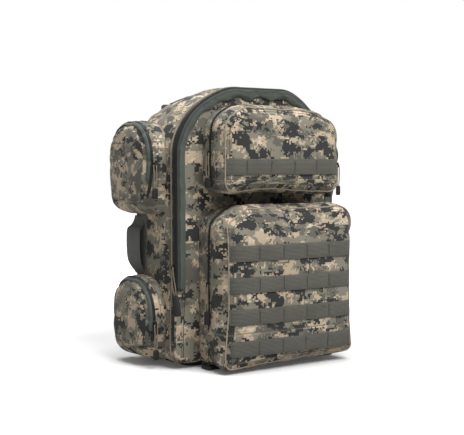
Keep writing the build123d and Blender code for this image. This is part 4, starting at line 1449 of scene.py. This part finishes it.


# side handles: a dark strip lying on the gusset under the grip's footprint, and a broad grip that sags off it
for side, mir in (("left", -1), ("right", 1)):
    g = Geo()
    pts = spline([(168.4, 248), (169.8, 240), (174, 231.5), (179.5, 227), (181.8, 220), (182.4, 205), (182.2, 188), (180.8, 172), (176.6, 162), (171.5, 154.5), (168.4, 149)], 5)
    path, up_, sc = [], [], []
    n = len(pts) - 1
    for i, (x, z) in enumerate(pts):
        s = i / n
        q0, q1 = pts[max(i - 1, 0)], pts[min(i + 1, n)]
        path.append((mir * (x + 0.5 * noise.noise(Vector((s * 7, 1.3, 0)))), 45.5 + 0.8 * sin(s * 5), z))
        t = Vector((q1[0] - q0[0], 0, q1[1] - q0[1])).normalized()
        nn = Vector((-t.z, 0, t.x))
        up_.append((mir * nn.x, 0, nn.z))
        w = 0.74 + 0.26 * smooth(min(s * 3.4, (1 - s) * 2.6))
        sc.append((w, 1))
    sec = [(-24, -0.9), (-23.6, 1.2), (-14, 1.8), (-5, 2.2), (5, 2.2), (14, 1.8), (23.6, 1.2), (24, -0.9), (14, -1.2), (0, -0.6), (-14, -1.2)]
    sweep(g, path, up_, sec, scale=sc)
    rows = np.linspace(147.5, 251, 24)
    cols = np.linspace(19.0, 69.0, 9)
    grid = []
    for z in rows:
        for y in cols:
            hit, _n, _i, _d = ms_t.ray_cast(Vector((mir * 230, y, z)), Vector((-mir, 0, 0)))
            x = abs(hit.x) if hit else 165.0
            grid.append([x, y, z])
    top = [(mir * (g_[0] + (1.5 if 0 < i % 9 < 8 else 0.4)), g_[1], g_[2]) for i, g_ in enumerate(grid)]
    low = [(mir * (g_[0] - 0.8), g_[1], g_[2]) for g_ in grid]
    fs, us_uv = [], []
    off = len(top)
    for r in range(23):
        for c in range(8):
            a = r * 9 + c
            q = (a, a + 9, a + 10, a + 1) if mir < 0 else (a, a + 1, a + 10, a + 9)
            fs.append(q)
            us_uv.append([(top[k][2], top[k][1]) for k in q])
            q2 = tuple(k + off for k in q[::-1])
            fs.append(q2)
            us_uv.append([(low[k - off][2], low[k - off][1]) for k in q2])
    edge = [c for c in range(9)] + [r * 9 + 8 for r in range(1, 24)] + [23 * 9 + c for c in range(7, -1, -1)] + [r * 9 for r in range(22, 0, -1)]
    for k in range(len(edge)):
        a, b = edge[k], edge[(k + 1) % len(edge)]
        q = (a, b, b + off, a + off) if mir < 0 else (a, a + off, b + off, b)
        fs.append(q)
        us_uv.append([(0, 0), (1, 0), (1, 1), (0, 1)])
    g.add(top + low, fs, us_uv)
    ob = g.make(f"side_handle_{side}_strap", [M_HANDLE])
    modify(ob, "SUBSURF", levels=1, render_levels=1)
    place(ob, "bag", "dark_fabric", f"side_handle_{side}")


# top handle: it lies low over the rear edge and its ends follow the top of the bag; the middle piece rides on the
# handle, the ends stay on the bag
def top_of(tree, x, y):
    hit, _n, _i, _d = tree.ray_cast(Vector((x, y, 520)), Vector((0, 0, -1)))
    return hit.z if hit else 460.0


TY = 62.0
ends = {sx: top_of(ms_t, sx * 80, TY) for sx in (-1, 1)}
crown = top_of(ms_t, 0, TY)
pts = []
for i in range(61):
    s = i / 60
    x = -96 + 192 * s
    base = top_of(ms_t, x, TY) + 1.6
    lift = 10.5 * smooth((88 - abs(x)) / 34)
    pts.append((x, TY, base + lift + 0.5 * noise.noise(Vector((x / 17, 0, 0)))))
zz = [p[2] for p in pts]
for _ in range(4):
    zz = [zz[0]] + [(zz[i - 1] + 2 * zz[i] + zz[i + 1]) / 4 for i in range(1, 60)] + [zz[-1]]
pts = [(p[0], p[1], z) for p, z in zip(pts, zz)]
sc = [(0.85 + 0.15 * sin(PI * i / 60), 0.55 + 0.5 * smooth((86 - abs(p[0])) / 26)) for i, p in enumerate(pts)]
for nm, a, b in (("left", 0, 16), ("middle", 15, 45), ("right", 44, 60)):
    g = Geo()
    sweep(g, pts[a:b + 1], (0, 0, 1), pad_section(15, 3.8, 16), scale=sc[a:b + 1])
    ob = g.make(f"top_handle_{nm}", [M_WEB_DARK])
    if nm == "middle":
        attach(ob, "top_handle")
        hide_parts("top_handle")
    else:
        sx = -1 if nm == "left" else 1
        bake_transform(ob)

# shoulder straps: foam under mesh, bound edges, webbing run down the middle
for side, mir in (("left", -1), ("right", 1)):
    g, gb, gw = Geo(), Geo(), Geo()
    mid = arc3((88, 431), (116.2, 300), (96.5, 165.5), 44)
    path, up_, sc = [], [], []
    for i, (y, z) in enumerate(mid):
        s = i / 44
        x = mir * (72 + 2.5 * sin(PI * s))
        path.append((x, y, z))
        q0, q1 = mid[max(i - 1, 0)], mid[min(i + 1, 44)]
        t = Vector((0, q1[0] - q0[0], q1[1] - q0[1])).normalized()
        up_.append((0, -t.z, t.y))
        w = 0.96 - 0.10 * s - 0.5 * max(0, (s - 0.86) / 0.14) ** 2
        sc.append((w, 1.0 - 0.25 * abs(2 * s - 1) ** 4))
    sweep(g, path, up_, pad_section(58, 9.5, 24, 4.0), scale=sc)
    ob = g.make(f"shoulder_strap_{side}_pad", [M_MESH])
    modify(ob, "SUBSURF", levels=1, render_levels=1)
    place(ob, f"shoulder_strap_{side}", "dark_fabric", f"shoulder_strap_{side}")
    fr = frames_along(path, up_)
    for sg in (-1, 1):
        sweep(gb, [p + sd * (sg * 28.6 * sc[i][0]) for i, (p, t, sd, n) in enumerate(fr)], up_, circle(1.9))
    sweep(gw, [p + n * (4.6 * sc[i][1]) for i, (p, t, sd, n) in enumerate(fr)], up_, flat_section(25.4, 1.2, 0.2))
    place(gb.make(f"shoulder_strap_{side}_binding", [M_DARK]), f"shoulder_strap_{side}", "dark_fabric")
    place(gw.make(f"shoulder_strap_{side}_webbing", [M_WEB_DARK]), f"shoulder_strap_{side}", "webbing")

# lower webbing that runs up to the ladder locks
g = Geo()
for mir in (-1, 1):
    pts = [(mir * 72, 77.0, 74), (mir * 72, 77.3, 84), (mir * 72, 83.5, 104), (mir * 72, 92.6, 130)]
    sweep(g, pts, (0, 1, 0), flat_section(25.4, 1.3, 0.1))
    sweep(g, [(mir * 72, 76.9, 64), (mir * 72, 77.6, 72), (mir * 72, 76.9, 78)], (0, 1, 0), flat_section(31, 1.2, 0.2))
place(g.make("shoulder_webbing_straps", [M_WEB_DARK]), "bag", "webbing", "shoulder_webbing")

# back pads
g = Geo()
for sx in (-1, 1):
    zs = np.linspace(90, 406, 60)
    path, sc = [], []
    for z in zs:
        s = (z - 90) / 316
        end = min(1, sin(PI * min(max(s, 0.0), 1)) * 5.5) ** 0.5 if 0 < s < 1 else 0.12
        ch = 1 - 0.22 * math.exp(-(((z - 90) % 79 - 39.5) / 4.0) ** 2)
        path.append((sx * 32.5, 78.6, z))
        sc.append((max(end, 0.15), max(end, 0.15) * ch))
    sweep(g, path, (0, 1, 0), pad_section(45, 11, 24, 3.2), scale=sc)
ob = g.make("back_pads_mesh", [M_MESH])
modify(ob, "SUBSURF", levels=1, render_levels=1)
place(ob, "bag", "mesh_padding", "back_pads")

# yoke and belt roots sewn on the back panel
g = Geo()
sweep(g, [(-106 + 212 * i / 24, 79.3 + 0.8 * sin(PI * i / 24), 433 + 0.5 * noise.noise(Vector((i / 3, 0, 0)))) for i in range(25)], (0, 1, 0), pad_section(18, 8, 16, 3.0))
for sx in (-1, 1):
    sweep(g, [(sx * 136, 80.2, 24 + 46 * i / 12) for i in range(13)], (0, 1, 0), pad_section(32, 9, 16, 3.4), scale=[(1 - 0.06 * abs(2 * i / 12 - 1) ** 3, 1 - 0.25 * abs(2 * i / 12 - 1) ** 3) for i in range(13)])
ob = g.make("back_yoke_fabric", [M_DARK])
modify(ob, "SUBSURF", levels=1, render_levels=1)
place(ob, "bag", "dark_fabric")

# waist belt wings with a webbing run
for side, mir in (("left", -1), ("right", 1)):
    g, gw = Geo(), Geo()
    path, sc = [], []
    for i in range(31):
        s = i / 30
        x = 148 - 104 * s
        w = (1.0 if s < 0.8 else 1 - 0.58 * ((s - 0.8) / 0.2) ** 1.4) * (0.9 + 0.1 * min(1, s * 12))
        path.append((mir * x, 89.5, 47 + 0.4 * noise.noise(Vector((s * 5, 3, 0)))))
        sc.append((w, (0.75 + 0.25 * min(1, s * 10)) * (1 - 0.35 * max(0, (s - 0.85) / 0.15))))
    sweep(g, path, (0, 1, 0), pad_section(43, 8.6, 24, 3.4), scale=sc)
    ob = g.make(f"belt_wing_{side}_pad", [M_DARK])
    modify(ob, "SUBSURF", levels=1, render_levels=1)
    place(ob, f"belt_wing_{side}", "dark_fabric", f"belt_wing_{side}")
    sweep(gw, [(mir * (140 - 101 * i / 20), 93.6 - (3.4 * max(0, (i - 17) / 3)), 47) for i in range(21)], (0, 1, 0), flat_section(20, 1.3, 0.1))
    place(gw.make(f"belt_wing_{side}_webbing", [M_WEB_DARK]), f"belt_wing_{side}", "webbing")

# carried-over hardware
for n, mat in (("ladder_lock_left", M_PLASTIC), ("ladder_lock_right", M_PLASTIC), ("belt_buckle_female", M_PLASTIC), ("belt_buckle_male", M_PLASTIC),
               ("base_lash_loops", M_PLASTIC), ("frame_sheet", M_SHEET), ("sternum_strap_left", M_PLASTIC), ("sternum_strap_right", M_PLASTIC)):
    o = frame["nodes"][n]
    o.data.materials.clear()
    o.data.materials.append(mat)
    modify(o, "BEVEL", width=0.0007, segments=3, limit_method="ANGLE")
# the sternum strap's webbing over its moulded ends
for side, mir in (("left", -1), ("right", 1)):
    g = Geo()
    x_in = 36.5
    sweep(g, [(mir * (104.5 - (104.5 - x_in) * i / 20), 124.2 + 0.25 * sin(i / 3), 332) for i in range(21)], (0, 1, 0), flat_section(20.6, 2.3, 0.1))
    place(g.make(f"sternum_{side}_webbing", [M_WEB_DARK]), f"sternum_strap_{side}", "webbing")

# lash webbing that holds the loops under the base
g = Geo()
for sx in (-1, 1):
    sweep(g, [(sx * 112, -78, 8.0), (sx * 112, -86, 7.2), (sx * 112, -94, 7.6), (sx * 112, -105, 8.4)], (0, 0, 1), flat_section(25.4, 1.2))
place(g.make("base_lash_webbing", [M_WEB_DARK]), "front_panel", "webbing")

# hydration sleeve and base panel
A_hs = Arch(104.6, 60.4, 379.6, 6, 30, 10)
hs = Shell(A_hs, [(1, -60.0), (0, -60.6), (0, -62.4), (1, -62.8)], FRONT, (90, 40), 0.3, 0, 0.4, 31.0)
hs.crease()
ob = hs.part("hydration_sleeve_fabric", lambda t: True, "bag", "lining", ["hydration_sleeve"], mats=[M_LINING], thick=0.4)
ob.modifiers.remove(ob.modifiers[0])
A_bs = Arch(140, -61.5, 66, 18, 18, 8)
BASE = lambda a, d, b: (a, b, -d)
bs_ = Shell(A_bs, [(3, 0.0), (0.9, -0.7), (0, -2.6), (0, -7.4)], BASE, (10, 900), 0.0, 0, 0.0, 33.0)
ob = bs_.part("base_panel_fabric", lambda t: True, "bag", "dark_fabric", ["base_panel"], mats=[M_DARK], thick=0.4)
ob.modifiers.remove(ob.modifiers[0])

# ------------------------------------------------------------------ stage
fl = mk("floor", [(-9000, -9000, 0), (9000, -9000, 0), (9000, 9000, 0), (-9000, 9000, 0)], [(0, 1, 2, 3)], [bpy.data.materials.new("pale_floor")])
fm = fl.data.materials[0]
fm.use_nodes = True
fb = fm.node_tree.nodes["Principled BSDF"]
fb.inputs["Base Color"].default_value = (0.93, 0.93, 0.93, 1)
fb.inputs["Roughness"].default_value = 0.9
fb.inputs["Specular IOR Level"].default_value = 0.1
fn = fm.node_tree
geo_n = fn.nodes.new("ShaderNodeNewGeometry")
far = fn.nodes.new("ShaderNodeVectorMath")
far.operation = "LENGTH"
fn.links.new(geo_n.outputs["Position"], far.inputs[0])
ramp = fn.nodes.new("ShaderNodeMapRange")
ramp.interpolation_type = "SMOOTHSTEP"
ramp.inputs["From Min"].default_value = 0.30
ramp.inputs["From Max"].default_value = 1.30
ramp.inputs["To Min"].default_value = 0.06
ramp.inputs["To Max"].default_value = 1.0
fn.links.new(far.outputs["Value"], ramp.inputs["Value"])
lp_n = fn.nodes.new("ShaderNodeLightPath")
mul = fn.nodes.new("ShaderNodeMath")
mul.operation = "MULTIPLY"
bounce = fn.nodes.new("ShaderNodeMix")
bounce.data_type = "RGBA"
bounce.inputs[6].default_value = (0.42, 0.42, 0.42, 1)
bounce.inputs[7].default_value = (0.93, 0.93, 0.93, 1)
fn.links.new(lp_n.outputs["Is Camera Ray"], bounce.inputs[0])
fn.links.new(bounce.outputs[2], fb.inputs["Base Color"])
fn.links.new(ramp.outputs[0], mul.inputs[0])
fn.links.new(lp_n.outputs["Is Camera Ray"], mul.inputs[1])
fb.inputs["Emission Color"].default_value = (1, 1, 1, 1)
fn.links.new(mul.outputs[0], fb.inputs["Emission Strength"])

world = bpy.data.worlds.new("studio")
SC.world = world
world.use_nodes = True
wn = world.node_tree
dim = wn.nodes["Background"]
dim.inputs[0].default_value = (1, 1, 1, 1)
dim.inputs[1].default_value = 0.24
seen = wn.nodes.new("ShaderNodeBackground")
seen.inputs[0].default_value = (1, 1, 1, 1)
seen.inputs[1].default_value = 1.0
path_n = wn.nodes.new("ShaderNodeLightPath")
pick = wn.nodes.new("ShaderNodeMixShader")
wn.links.new(path_n.outputs["Is Camera Ray"], pick.inputs[0])
wn.links.new(dim.outputs[0], pick.inputs[1])
wn.links.new(seen.outputs[0], pick.inputs[2])
wn.links.new(pick.outputs[0], wn.nodes["World Output"].inputs[0])


def area(name, loc, target, size, power):
    li = bpy.data.lights.new(name, "AREA")
    li.shape = "SQUARE"
    li.size = size
    li.energy = power
    ob = bpy.data.objects.new(name, li)
    ob.location = loc
    ob.rotation_euler = (Vector(target) - Vector(loc)).to_track_quat("-Z", "Y").to_euler()
    SC.collection.objects.link(ob)


area("key", (0.05, -1.85, 2.3), (0, 0, 0.2), 1.6, 71)
area("top", (-0.1, 0.35, 2.6), (0, 0, 0.2), 1.8, 54)

cam_d = bpy.data.cameras.new("camera")
cam_d.sensor_width = 36.0
cam_d.lens = 1038.4 * 36 / 464
cam = bpy.data.objects.new("camera", cam_d)
SC.collection.objects.link(cam)
az, el, roll = math.radians(-34.21), math.radians(2.7), math.radians(-0.12)
view = Vector((-sin(az) * cos(el), cos(az) * cos(el), -sin(el)))
right = Vector((cos(az), sin(az), 0))
upv = right.cross(view)
right, upv = right * cos(roll) + upv * sin(roll), upv * cos(roll) - right * sin(roll)
rot = Matrix((right, upv, -view)).transposed()
cam.matrix_world = Matrix.Translation((-1.03885, -1.51467, 0.32849)) @ rot.to_4x4()
cam_d.clip_end = 60
SC.camera = cam
SC.view_settings.view_transform = "Standard"
